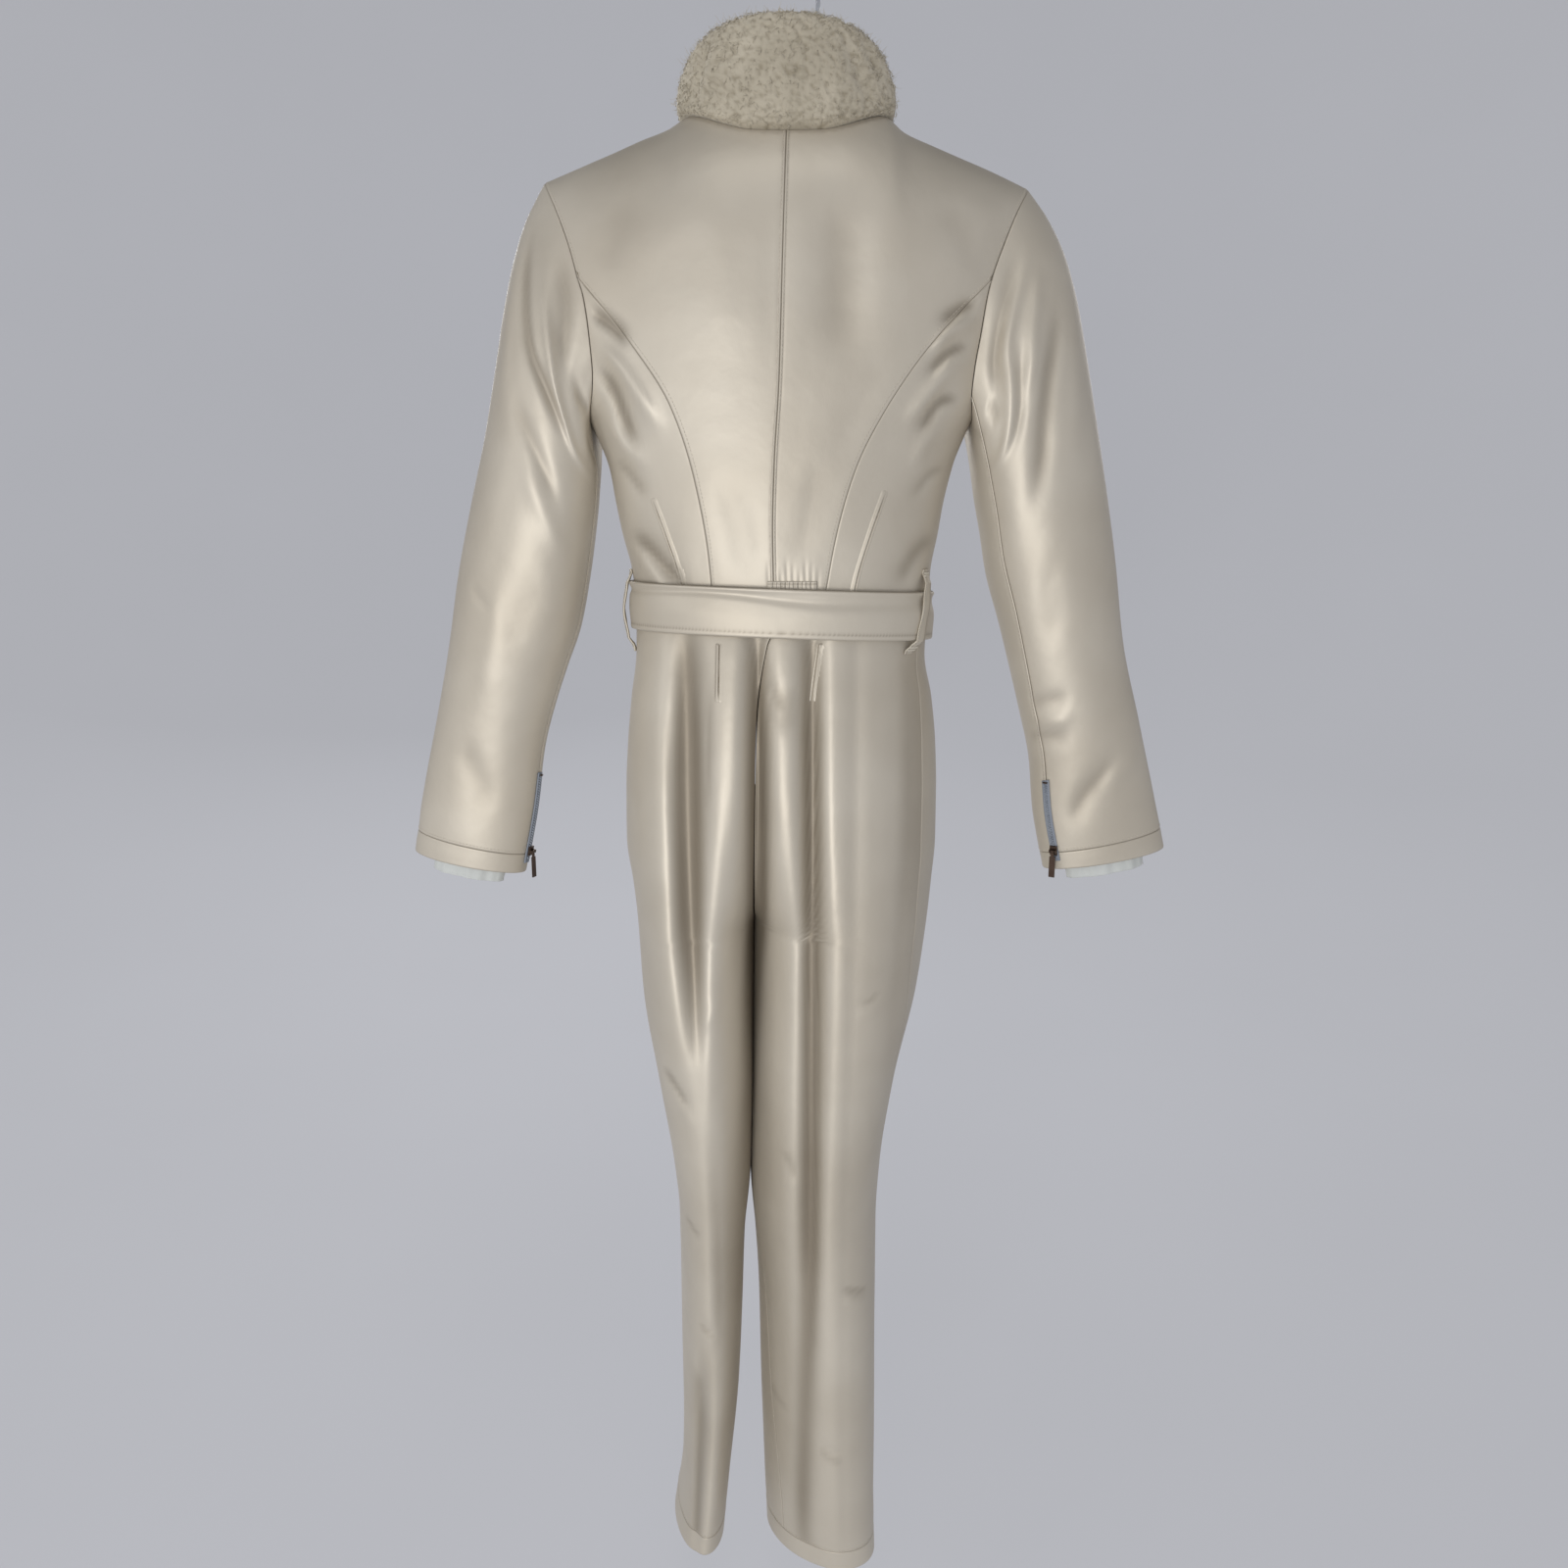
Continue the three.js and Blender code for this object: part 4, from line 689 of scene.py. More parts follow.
frontDrape = drapeLines([
    [[519, -150, 0], [1500, -126, 0]],
    [[519, -104, -1], [600, -106, -6], [760, -100, -7.5], [960, -93, -5], [1100, -92, 1],
     [1500, -100, 0.5]],
    [[519, -66, 0.5], [600, -66, 4], [760, -64, 6], [960, -66, 5], [1100, -72, 0],
     [1260, -76, -3.5], [1500, -84, 0]],
    [[519, -36, -0.5], [640, -36, -4], [805, -34, -4], [1100, -54, 3], [1300, -58, 2],
     [1500, -66, 0]],
    [[519, -4, 0], [700, -6, 3], [820, -10, 4.5], [1100, -14, 4], [1500, -4, 0]],
    [[519, 32, -1], [640, 36, -5.5], [900, 34, -7], [1160, 28, -6], [1350, 24, -3],
     [1500, 28, -0.5]],
    [[519, 68, 0.5], [640, 72, 4.5], [900, 60, 5], [1160, 52, 4], [1350, 54, 3], [1500, 58, 0.5]],
    [[519, 100, -0.5], [640, 106, -4], [860, 94, -3.5], [1000, 84, 0], [1300, 78, -1.5],
     [1500, 80, 0]],
    [[519, 150, 0], [1500, 110, 0]],
])
# Small creases on top of the drape, in the same form as the bodice's
backCreases = [
    [[(-104, 566), (-102, 640), (-98, 740)], 5, 7, -1.4],
    [[(-66, 556), (-68, 640), (-72, 720)], 6, 4, -1.8],
    [[(-2, 568), (-2, 596), (-3, 622)], 17, 15, -1.7],
    [[(-26, 556), (-14, 572), (-4, 600)], 4, 5, -1.2],
    [[(84, 848), (78, 858), (66, 862)], 3, 3, -1.6],
    [[(84, 862), (76, 870), (62, 872)], 3, 3, 1.4],
    [[(-116, 926), (-102, 944), (-88, 966)], 5, 5, -2.6],
    [[(-112, 942), (-100, 960), (-84, 986)], 4, 5, 2],
    [[(-98, 1084), (-90, 1092), (-78, 1102)], 4, 4, -1.8],
    [[(-86, 1194), (-78, 1202), (-66, 1212)], 4, 4, -1.8],
    [[(-84, 1236), (-86, 1290), (-84, 1360)], 8, 8, -2.4],
    [[(-106, 1170), (-98, 1186), (-92, 1214)], 5, 5, 1.6],
    [[(50, 1152), (64, 1160), (84, 1172)], 4, 4, -2],
    [[(52, 1166), (66, 1174), (84, 1186)], 4, 4, 1.6],
    [[(-8, 1010), (4, 1026), (10, 1050)], 5, 5, -1.6],
    [[(-60, 852), (-66, 872), (-78, 886)], 6, 6, 1.6],
    [[(30, 1330), (42, 1344), (62, 1352)], 5, 5, -1.6],
    [[(-20, 1290), (-8, 1306), (8, 1312)], 5, 5, -1.4],
]
frontFineCreases = [
    [[(-46, 566), (-40, 600), (-26, 660)], 6, 6, -2],
    [[(48, 566), (44, 606), (30, 668)], 6, 6, -2],
    [[(-112, 900), (-98, 916), (-80, 940)], 5, 5, -2.2],
    [[(-104, 1080), (-92, 1094), (-76, 1110)], 5, 5, -2],
    [[(74, 1052), (58, 1068), (42, 1092)], 5, 5, -2.2],
    [[(80, 1220), (66, 1232), (48, 1250)], 5, 5, 1.8],
    [[(-100, 1290), (-88, 1306), (-74, 1330)], 5, 5, -2],
]


def legSection(side, drop):
    sign, rows = sideSign[side], legs[side]
    outer = sign * rows["outer"](drop)
    middle = seat["middle"](drop)
    above = drop < body["crotch"]
    past = middle + (middle - outer) * seat["past"](drop)
    # above the knees both inner legs share one line and touch, below they part
    touch = body["legsTouch"] * smoothStep((drop - body["crotch"]) / 70)
    apart = mix(touch, body["legGap"], smoothStep((drop - body["knee"]) / 120))
    shared = (legs["left"]["inner"](drop) + legs["right"]["inner"](drop)) / 2
    own = mix(shared, rows["inner"](drop), smoothStep((drop - body["knee"] + 10) / 90))
    inner = np.where(above, past, -own + sign * apart)
    turn = np.radians(rows["turn"](drop))
    deep = rows["depth"](drop)
    wide = np.sqrt((np.abs(outer - inner) / 2) ** 2 - (deep * np.sin(turn)) ** 2) / np.cos(turn)
    power = 2 / mix(body["sectionPower"], 2, np.clip((drop - body["waist"]) / 200, 0, 1))
    return dict(sign=sign, middle=middle, above=above, centre=(outer + inner) / 2, wide=wide,
                deep=deep, turn=turn, power=power, along=rows["middleY"](drop))


def legPoint(side, drop, angle, way):
    # A superellipse turned about the upright; angle runs from its outer edge over the back (way -1).
    s = legSection(side, drop)
    out = np.sign(np.cos(angle)) * np.abs(np.cos(angle)) ** s["power"] * s["wide"] * s["sign"]
    deep = way * np.abs(np.sin(angle)) ** s["power"] * s["deep"]
    across = s["centre"] + out * np.cos(s["turn"]) - deep * np.sin(s["turn"])
    along = s["along"] + deep * np.cos(s["turn"]) + out * np.sin(s["turn"])
    back = drapeHeight(backDrape, across, drop) + creaseDepth(backCreases, across, drop)
    front = drapeHeight(frontDrape, across, drop) + creaseDepth(frontFineCreases, across, drop)
    along = along + way * np.where(way < 0, back, front) * np.sin(angle) ** 2
    hem = legHem[side]
    share = np.clip((drop - legHem["tiltStart"]) / (hem["drop"] - legHem["tiltStart"]), 0, 1)
    return np.stack([across, along, -(drop + hem["tilt"] * share * share * along)], -1)


def innerAngle(side, drop, way):
    s = legSection(side, drop)
    half = body["legGap"] / 2
    fade = np.clip((body["zipEnd"] + 14 - drop) / 8, 0, 1)
    off = mix(half, body["zipEdge"], fade) if way > 0 else half
    share = (s["middle"] + s["sign"] * off - s["centre"]) * s["sign"] / s["wide"]
    angle = np.arccos(np.sign(share) * np.minimum(np.abs(share), 1) ** (1 / s["power"]))
    return np.where(s["above"], angle, np.pi)


seamTurn = dict(
    left=curveThrough([519, 700, 1480], [0, -12, -20]),
    right=curveThrough([519, 545, 700, 850, 1100, 1496], [0, 22, 32, 38, 30, 2]),
)


def legPanel(side, way, top, bottom):
    def at(u, v):
        drop = mix(top, bottom, v)
        start = np.radians(seamTurn[side](drop))
        angle = mix(start if way < 0 else -start, innerAngle(side, drop, way), u)
        return legPoint(side, drop, np.abs(angle), np.where(angle < 0, -way, way))
    return at


# Cloth surfaces with their seams, stitch lines and fine creases

rng = np.random.default_rng(7)
ripple = dict(
    waves=rng.normal(size=(14, 3)),
    length=rng.uniform(45, 150, 14),
    phase=rng.uniform(0, 2 * np.pi, 14),
    depth=0.16,
    fade=25,                # it is held flat at the seams
)


def softRipple(points):
    # A sum of 14 plane waves of unlike direction, 45 to 150 mm long: how a lined cloth hangs uneven
    ways = unit(ripple["waves"]) * [1, 1, 0.45]
    total = np.zeros(points.shape[:-1])
    for way, length, phase in zip(ways, ripple["length"], ripple["phase"]):
        total += np.sin(points @ way * (2 * np.pi / length) + phase) * length / 100
    return total * ripple["depth"]


seamLook = dict(
    dip=0.45, dipWidth=0.6,         # the seam itself
    # the seam's painted shade, in its dip and in the stitch dips:
    paintedShade=0.3,                     # how dark it is
    welt=2.3, weltRise=0.5,         # the cloth between seam and edge stitching
    stitchDip=0.45, stitchWidth=0.45, stitchPitch=3.2,
)


def ridgeAt(d, place, width, power=2):
    # A rounded ridge of height 1 across a line at this place
    return np.exp(-(((d - place) / width) ** power))


def seamRelief(d, along, stitched):
    # d is the distance from the seam in mm: a narrow dip, and where it is edge stitched a low welt
    # that ends in a row of small stitch dips.
    k = seamLook
    relief = -k["dip"] * ridgeAt(d, 0, k["dipWidth"])
    if stitched:
        relief += k["weltRise"] * ridgeAt(d, k["welt"] / 2, k["welt"] / 2.2, 4)
        beat = 0.65 + 0.35 * np.cos(along * 2 * np.pi / k["stitchPitch"])
        relief -= k["stitchDip"] * ridgeAt(d, k["welt"], k["stitchWidth"]) * beat
    return relief


nearSeam = np.array([0, 0.4, 0.85, 1.4, 1.9, 2.3, 2.75, 3.6])


def spread(lengths, step, fineStart, fineEnd):
    # Shares from 0 to 1 along each line, evenly spaced but closer beside an edge that is a seam
    low = nearSeam if fineStart else nearSeam[:1]
    high = nearSeam if fineEnd else nearSeam[:1]
    count = max(int(np.max(lengths) / step), 3)
    lengths = np.maximum(lengths, (low[-1] + high[-1]) * 1.6 + 1)[..., None]
    middle = np.linspace(0, 1, count + 1)[1:-1]
    a, b = low[-1] / lengths, 1 - high[-1] / lengths
    return np.concatenate([low / lengths, mix(a, b, middle), 1 - high[::-1] / lengths], -1)


def clothGrid(shape, edges, step=None, relief=None, axis=None, hollow=None):
    # shape(u, v) gives the bare surface. It is sampled with its points closer at the seams, and
    # moved along its own slope by the seams' relief, the soft ripple and the piece's own creases.
    # edges holds, for first, last, top and bottom, None, "seam" or "stitched".
    step = step or body["grid"]
    coarse = np.linspace(0, 1, 41)
    u, v = np.meshgrid(coarse, coarse)
    rough = shape(u, v)
    widths = np.linalg.norm(np.diff(rough, axis=1), axis=-1).sum(1)
    heights = np.linalg.norm(np.diff(rough, axis=0), axis=-1).sum(0)
    vRow = spread(np.array(np.max(heights)), step, bool(edges.get("top")), bool(edges.get("bottom")))
    widthAt = np.interp(vRow, coarse, widths)
    u = spread(widthAt, step, bool(edges.get("first")), bool(edges.get("last")))
    v = np.broadcast_to(vRow[:, None], u.shape)
    points = shape(u, v)
    across, down = lengthsOnGrid(points, 1), lengthsOnGrid(points, 0)
    distance = dict(first=across, last=across[:, -1:] - across, top=down, bottom=down[-1:] - down)
    slant = normalsOf(points, axis)
    lift = softRipple(points)
    near = np.minimum.reduce([distance[e] for e in ("first", "last", "top", "bottom")])
    lift *= smoothStep(near / ripple["fade"])
    # paintedShade holds painted shade: darker in the seam dips, the stitch dips, the piece's hollows and its
    # relief's own marks.
    paintedShade = np.zeros(points.shape[:-1])
    for edge, kind in edges.items():
        if kind:
            d, along = distance[edge], down if edge in ("first", "last") else across
            lift = lift + seamRelief(d, along, kind == "stitched")
            dark = seamLook["paintedShade"]
            paintedShade = np.maximum(paintedShade, dark * ridgeAt(d, 0, seamLook["dipWidth"]))
            if kind == "stitched":
                beat = 0.7 + 0.3 * np.cos(along * 2 * np.pi / seamLook["stitchPitch"])
                paintedShade = np.maximum(paintedShade, dark * ridgeAt(d, seamLook["welt"], 0.5) * beat)
    if hollow:
        paintedShade = np.maximum(paintedShade, hollow(points, u, v))
    if relief:
        extra, extraPaintedShade = relief(u, across, down)
        lift = lift + extra
        paintedShade = np.maximum(paintedShade, extraPaintedShade)
    points = points + slant * lift[..., None]
    return dict(points=points, uv=np.stack([across, down], -1) * metre, paintedShade=paintedShade, slant=slant)


def normalsOf(points, axis=None):
    # The cross product of the two grid directions, turned away from the piece's axis
    along = np.gradient(points, axis=0)
    across = np.gradient(points, axis=1)
    slant = unit(np.cross(across, along))
    if axis is not None:
        middle = axis(points[..., 2])
        if np.sum(slant * (points - middle)) < 0:
            slant = -slant
    return slant


def clothPiece(name, grid, material, wall=None, closed=False):
    points, slant = grid["points"].reshape(-1, 3), grid["slant"].reshape(-1, 3)
    quads = outwardFaces(gridQuads(*grid["paintedShade"].shape), points, slant)
    uv = grid["uv"].reshape(-1, 2)[quads]
    obj = makeObject(name, points, quads, uv, grid["paintedShade"], material)
    if closed:
        weld = obj.modifiers.new("weld", "WELD")
        weld.merge_threshold = 0.00002
    modifier = obj.modifiers.new("wall", "SOLIDIFY")
    modifier.thickness = (wall or body["wall"]) * metre
    modifier.offset = -1
    modifier.use_even_offset = False
    return obj


# Materials

def objectPlace(tree):
    return addNode(tree, "ShaderNodeTexCoord").outputs["Object"]


def noise(tree, place, scale, detail=2.0, roughness=0.5):
    settings = {"Scale": scale, "Detail": detail, "Roughness": roughness}
    return addNode(tree, "ShaderNodeTexNoise", settings, Vector=place).outputs["Fac"]


def wave(tree, place, scale, distortion=0.0, direction="X"):
    settings = {"Scale": scale, "Distortion": distortion, "bands_direction": direction}
    return addNode(tree, "ShaderNodeTexWave", settings, Vector=place).outputs["Fac"]


def tones(tree, source, low, high, lowAt=0.0, highAt=1.0):
    # A colour that runs from low to high with its source
    ramp = addNode(tree, "ShaderNodeValToRGB", None, Fac=source)
    elements = ramp.color_ramp.elements
    elements[0].position, elements[1].position = lowAt, highAt
    elements[0].color, elements[1].color = linearOf(low), linearOf(high)
    return ramp.outputs["Color"]


def paintedShadeOver(tree, tone, dark):
    # Painted shade: the tone multiplied by a dark colour as far as the mesh's own painted shade values say
    paintedShade = addNode(tree, "ShaderNodeAttribute", {"attribute_name": "paintedShade"})
    darker = addNode(tree, "ShaderNodeMix", {"data_type": "RGBA", "blend_type": "MULTIPLY"},
                     _0=paintedShade.outputs["Fac"], _6=tone)
    darker.inputs[7].default_value = linearOf(dark)
    return darker.outputs[2]


def bump(tree, height, strength, distance, **under):
    settings = {"Strength": strength, "Distance": distance}
    return addNode(tree, "ShaderNodeBump", settings, Height=height, **under).outputs["Normal"]


def finished(material, colour, normal=None):
    links, shader = material[1].links, material[2]
    links.new(colour, shader.inputs["Base Color"])
    if normal:
        links.new(normal, shader.inputs["Normal"])
    return material[0]


def satinSoftshell():
    # Satin faced softshell, a warp-faced polyester weave bonded to a thin membrane. Its floats
    # give broad soft lights, for which a share of metallic gloss stands.
    made = newMaterial("satin_softshell", {
        "Roughness": 0.5, "Metallic": 0.36, "Specular IOR Level": 0.3,
        "Sheen Weight": 0.03, "Sheen Roughness": 0.4, "Sheen Tint": linearOf("#f4ead8")})
    tree = made[1]
    uv = addNode(tree, "ShaderNodeUVMap", {"uv_map": "cut"})
    place = objectPlace(tree)
    tone = tones(tree, noise(tree, place, 9.0, 3.0), "#c1b8a8", "#cdc5b6", 0.3, 0.72)
    # The real floats are 0.25 mm apart, too fine to show, so they are drawn 0.7 mm apart.
    scaled = addNode(tree, "ShaderNodeMapping", {"Scale": (1400, 350, 1)}, Vector=uv.outputs["UV"])
    threads = bump(tree, noise(tree, scaled.outputs[0], 1.0, 1.0), 0.12, 0.0002)
    slub = bump(tree, noise(tree, place, 30.0, 3.0), 0.22, 0.003, Normal=threads)
    # Its tone is darkened towards #8f8577 by painted shade in valleys, creases, seam dips and stitch dips.
    return finished(made, paintedShadeOver(tree, tone, "#8f8577"), slub)


def simpleFinish(name, colour, shade, roughness, metallic=0.0):
    # One finish: a base colour with a slight cloudiness and a fine grain.
    made = newMaterial(name, {"Roughness": roughness, "Metallic": metallic})
    tree = made[1]
    place = objectPlace(tree)
    tone = tones(tree, noise(tree, place, 60.0, 3.0), shade, colour, 0.2, 0.6)
    return finished(made, tone, bump(tree, noise(tree, place, 900.0), 0.15, 0.0004))


def sherpaPile():
    # Sherpa pile, a knitted polyester fleece tumbled into curls: matt and soft at its outline, with painted
    # shade between the clumps and along its foot.
    made = newMaterial("tumbled_sherpa_pile", {
        "Roughness": 0.95, "Specular IOR Level": 0.15,
        "Sheen Weight": 0.8, "Sheen Roughness": 0.5, "Sheen Tint": linearOf("#f2ead9")})
    tree = made[1]
    place = objectPlace(tree)
    tone = tones(tree, noise(tree, place, 26.0), "#b3aa97", "#c2b9a6", 0.35, 0.7)
    # fibres are 0.03 mm thick, drawn as 0.6 mm tufts
    tufts = bump(tree, noise(tree, place, 1600.0, 3.0, 0.7), 0.7, 0.0006)
    return finished(made, paintedShadeOver(tree, tone, "#a39a89"), tufts)


def wovenTape():
    # Woven polyester zip tape in a twill: matt, with fine slanting ribs 0.8 mm apart
    made = newMaterial("woven_zip_tape", {"Roughness": 0.7})
    tree = made[1]
    turned = addNode(tree, "ShaderNodeMapping", {"Rotation": (0.5, 0.6, 0)}, Vector=objectPlace(tree))
    ribs = wave(tree, turned.outputs[0], 390.0, 0.6)
    return finished(made, tones(tree, ribs, "#767c86", "#979da6"), bump(tree, ribs, 0.4, 0.0002))


def cuffJersey():
    # Brushed stretch jersey: matt, pale grey, with knit wales 1 mm apart that run down the cuff
    made = newMaterial("stretch_cuff_jersey", {"Roughness": 0.8, "Sheen Weight": 0.2})
    tree = made[1]
    uv = addNode(tree, "ShaderNodeUVMap", {"uv_map": "cut"})
    tone = tones(tree, noise(tree, objectPlace(tree), 40.0), "#c2c5c0", "#d4d6d2")
    return finished(made, tone, bump(tree, wave(tree, uv.outputs["UV"], 320.0, 0.4), 0.35, 0.0002))


def spunThread():
    # Spun polyester sewing thread, twisted: a fine slanting twist 0.5 mm apart with a slight gloss
    made = newMaterial("spun_polyester_thread", {"Roughness": 0.5})
    tree = made[1]
    twist = wave(tree, objectPlace(tree), 620.0, direction="DIAGONAL")
    return finished(made, tones(tree, twist, "#b9b1a1", "#dcd5c6"))


satin = satinSoftshell()
pile = sherpaPile()
jersey = cuffJersey()
tape = wovenTape()
thread = spunThread()
toothFinish = simpleFinish("moulded_nylon_coil", "#9aa0a8", "#7f858e", 0.4)
bronze = simpleFinish("bronzed_die_cast_zinc", "#5a4a40", "#4a3c33", 0.35, metallic=0.9)
wireFinish = simpleFinish("bright_plated_wire", "#d5d7d9", "#c4c6c8", 0.18, metallic=1.0)
hangerFinish = simpleFinish("moulded_polystyrene", "#e6e4de", "#dcdad3", 0.35)
print("materials ready")

# Camera and stage

# The place and pitch that the photograph's lines give, and its focal length in its own pixels
view = dict(place=(-2.0, -1043.0, -457.6), pitch=12.0, pixels=1155.0, picture=1600, sensor=36)
cameraData = bpy.data.cameras.new("camera")
cameraData.sensor_width = view["sensor"]
cameraData.lens = view["sensor"] * view["pixels"] / view["picture"]
camera = placeObject("camera", cameraData)
camera.location = tuple(np.array(view["place"]) * metre)
camera.rotation_euler = (math.radians(90 - view["pitch"]), 0, 0)
bpy.context.scene.camera = camera

bpy.context.scene.view_settings.view_transform = "Standard"

stage = dict(floor=-1620, flat=1200, radius=4300, wall=5200, bend=2600, sides=96,
             paper=("#7f8085", "#86878c"), glow="#c6c7cc", glowPower=0.58, room="#c6c9d0", roomPower=0.12)


def studioStage():
    # A round floor that curves up into a wall all round: r and z follow a quarter circle between.
    k = stage
    turn = np.linspace(0, 2 * np.pi, k["sides"] + 1)[:-1]
    bend = np.linspace(0, np.pi / 2, 17)
    r = np.concatenate([[1, k["flat"]], k["radius"] - k["bend"] + k["bend"] * np.sin(bend), [k["radius"]]])
    z = np.concatenate([[0, 0], k["bend"] * (1 - np.cos(bend)), [k["wall"]]]) + k["floor"]
    rings = np.broadcast_arrays(r[:, None] * np.cos(turn), r[:, None] * np.sin(turn), z[:, None])
    quads = gridQuads(len(r), len(turn), closed=True)
    made = newMaterial("matt_paper_backdrop", {
        "Roughness": 0.9, "Emission Color": linearOf(k["glow"]), "Emission Strength": k["glowPower"]})
    tone = tones(made[1], noise(made[1], objectPlace(made[1]), 2.0), *k["paper"])
    paper = finished(made, tone)
    makeObject("studio_backdrop", np.stack(rings, -1).reshape(-1, 3), quads, material=paper)


studioStage()

# Each lamp's name, place, aim, width and height in millimetres, and power in watts
lamps = [
    ("key_soft_box", (-560, -2300, -860), (0, 0, -950), (700, 950), 25),
    ("left_soft_box", (-1900, -1300, -100), (0, 0, -800), (600, 600), 4),
    ("top_soft_box", (0, -1000, 1500), (0, 0, -700), (700, 700), 6),
    ("far_left_soft_box", (-1000, 2500, 300), (0, 0, -720), (900, 900), 20),
    ("far_right_soft_box", (1300, 2100, 300), (0, 0, -720), (900, 900), 6),
]
for name, at, aim, size, power in lamps:
    data = bpy.data.lights.new(name, "AREA")
    data.shape = "RECTANGLE"
    data.size, data.size_y = size[0] * metre, size[1] * metre
    data.energy = power
    lamp = placeObject(name, data)
    way = np.array(aim, float) - np.array(at, float)
    lamp.location = tuple(np.array(at) * metre)
    yaw = math.atan2(way[1], way[0])
    tilt = math.atan2(math.hypot(way[0], way[1]), -way[2])
    lamp.rotation_euler = (tilt, 0, yaw - math.pi / 2)
world = bpy.data.worlds.new("soft_room")
bpy.context.scene.world = world
world.use_nodes = True
background = world.node_tree.nodes["Background"]
background.inputs[0].default_value = linearOf(stage["room"])
background.inputs[1].default_value = stage["roomPower"]
print("stage ready")

# Bodice and trousers

bodyAxis = lambda z: np.stack([bodice["middle"](-z), 0 * z, np.minimum(z, -260)], -1)
upright = lambda z: np.stack([0 * z, 0 * z, z], -1)
stitchedEdges = dict(first="stitched", last="seam", top="seam", bottom="seam")
panelEdges = dict(
    back=stitchedEdges, front=stitchedEdges, sleeve=stitchedEdges,
    side_back=dict(first="seam", last="seam", top=None, bottom="seam"),
    leg=dict(first="seam", last="seam", top="seam", bottom="seam"),
    hem=dict(top="seam", bottom="seam"),
)
clothGrids = {}


def sewnPiece(node, shape, edges=None, wall=None, closed=False, **look):
    # Cloth in its solid's place. The cut is the piece laid flat, so its rectangle is its own
    # greatest width and length.
    grid = clothGrid(shape, edges or {}, **look)
    clothGrids[node] = grid
    if node.startswith("storm_cuff"):
        dress(clothPiece(f"jersey_{node}", grid, jersey, wall, closed), [node])
    else:
        dress(clothPiece(f"cloth_{node}", grid, satin, wall, closed), [node])


def makeBodice():
    for side in sideSign:
        for name, shape in bodicePanels(side):
            kind = name.rsplit("_", 1)[0]
            creases = bodiceFrontCreases if kind == "front" else bodiceCreases
            fold = lambda p: creaseDepth(creases, p[..., 0], -p[..., 2])
            shade = lambda p, u, v: hollowShade(fold(p), *hollows["bodice"])
            sewnPiece(name, shape, panelEdges[kind], axis=bodyAxis, hollow=shade)


def legAxis(side):
    def at(z):
        s = legSection(side, np.minimum(-z, 1480))
        outer = s["sign"] * legs[side]["outer"](-z)
        return np.stack([mix(s["centre"], outer, np.where(s["above"], 0.15, 0)), 0 * z, z], -1)
    return at


def drapeShade(points, way):
    # Painted shade in the trousers' valleys, and more weakly in their small creases
    across, drop = points[..., 0], -points[..., 2]
    lines, fine = (backDrape, backCreases) if way < 0 else (frontDrape, frontFineCreases)
    deep = hollowShade(drapeHeight(lines, across, drop) - 2.5, *hollows["drape"])
    return np.maximum(deep, hollowShade(creaseDepth(fine, across, drop), *hollows["fine"]))


def makeTrousers():
    for side in sideSign:
        hem = legHem[side]["drop"]
        end = hem - legHem["height"]
        for kind, way in (("back", -1), ("front", 1)):
            shade = lambda p, u, v: drapeShade(p, way)
            sewnPiece(f"{kind}_leg_{side}", legPanel(side, way, body["waist"] + 0.6, end),
                      panelEdges["leg"], axis=legAxis(side), hollow=shade)

        def around(u, v):
            # u runs round the leg: the back panel first, then the front one back to its start
            drop = mix(end + 0.1, hem, v)
            angle = np.radians(seamTurn[side](drop)) + u * 2 * np.pi
            turned = np.where(angle > np.pi, 2 * np.pi - angle, angle)
            way = np.where(angle > np.pi, 1, -1) * np.where(turned < 0, -1, 1)
            return legPoint(side, drop, np.abs(turned), way)
        sewnPiece(f"leg_hem_{side}", around, panelEdges["hem"], body["hemWall"], True, axis=legAxis(side))


def sleeveAxis(side):
    def at(z):
        share = np.clip((-z - 260) / 500, 0.02, 1)
        middle = (sleeves[side]["outerX"](share) + sleeves[side]["innerX"](share)) / 2
        return np.stack([sideSign[side] * middle, 0 * z + body["sleeveHang"], z], -1)
    return at


def makeSleeves():
    hemStart = 1 - sleeveShape["hemHeight"] / sleeveShape["run"]
    for side in sideSign:
        seamAngle = sleeveShape["zipAngle"][side]
        for name, low, high, kind, wall in (
            (f"sleeve_{side}", 0.0, hemStart, "sleeve", body["wall"]),
            (f"sleeve_hem_{side}", hemStart + 0.0002, 1.0, "hem", body["hemWall"]),
        ):
            place = lambda u, v: (side, mix(low, high, v), seamAngle + u * 2 * np.pi)
            shade = lambda p, u, v: hollowShade(sleeveFold(*place(u, v)), *hollows["sleeve"])
            sewnPiece(name, lambda u, v: sleevePoint(*place(u, v)), panelEdges[kind], wall, True,
                      axis=sleeveAxis(side), hollow=shade)


makeBodice()
print("bodice ready")
makeTrousers()
print("trousers ready")
makeSleeves()
print("sleeves ready")

# Collar

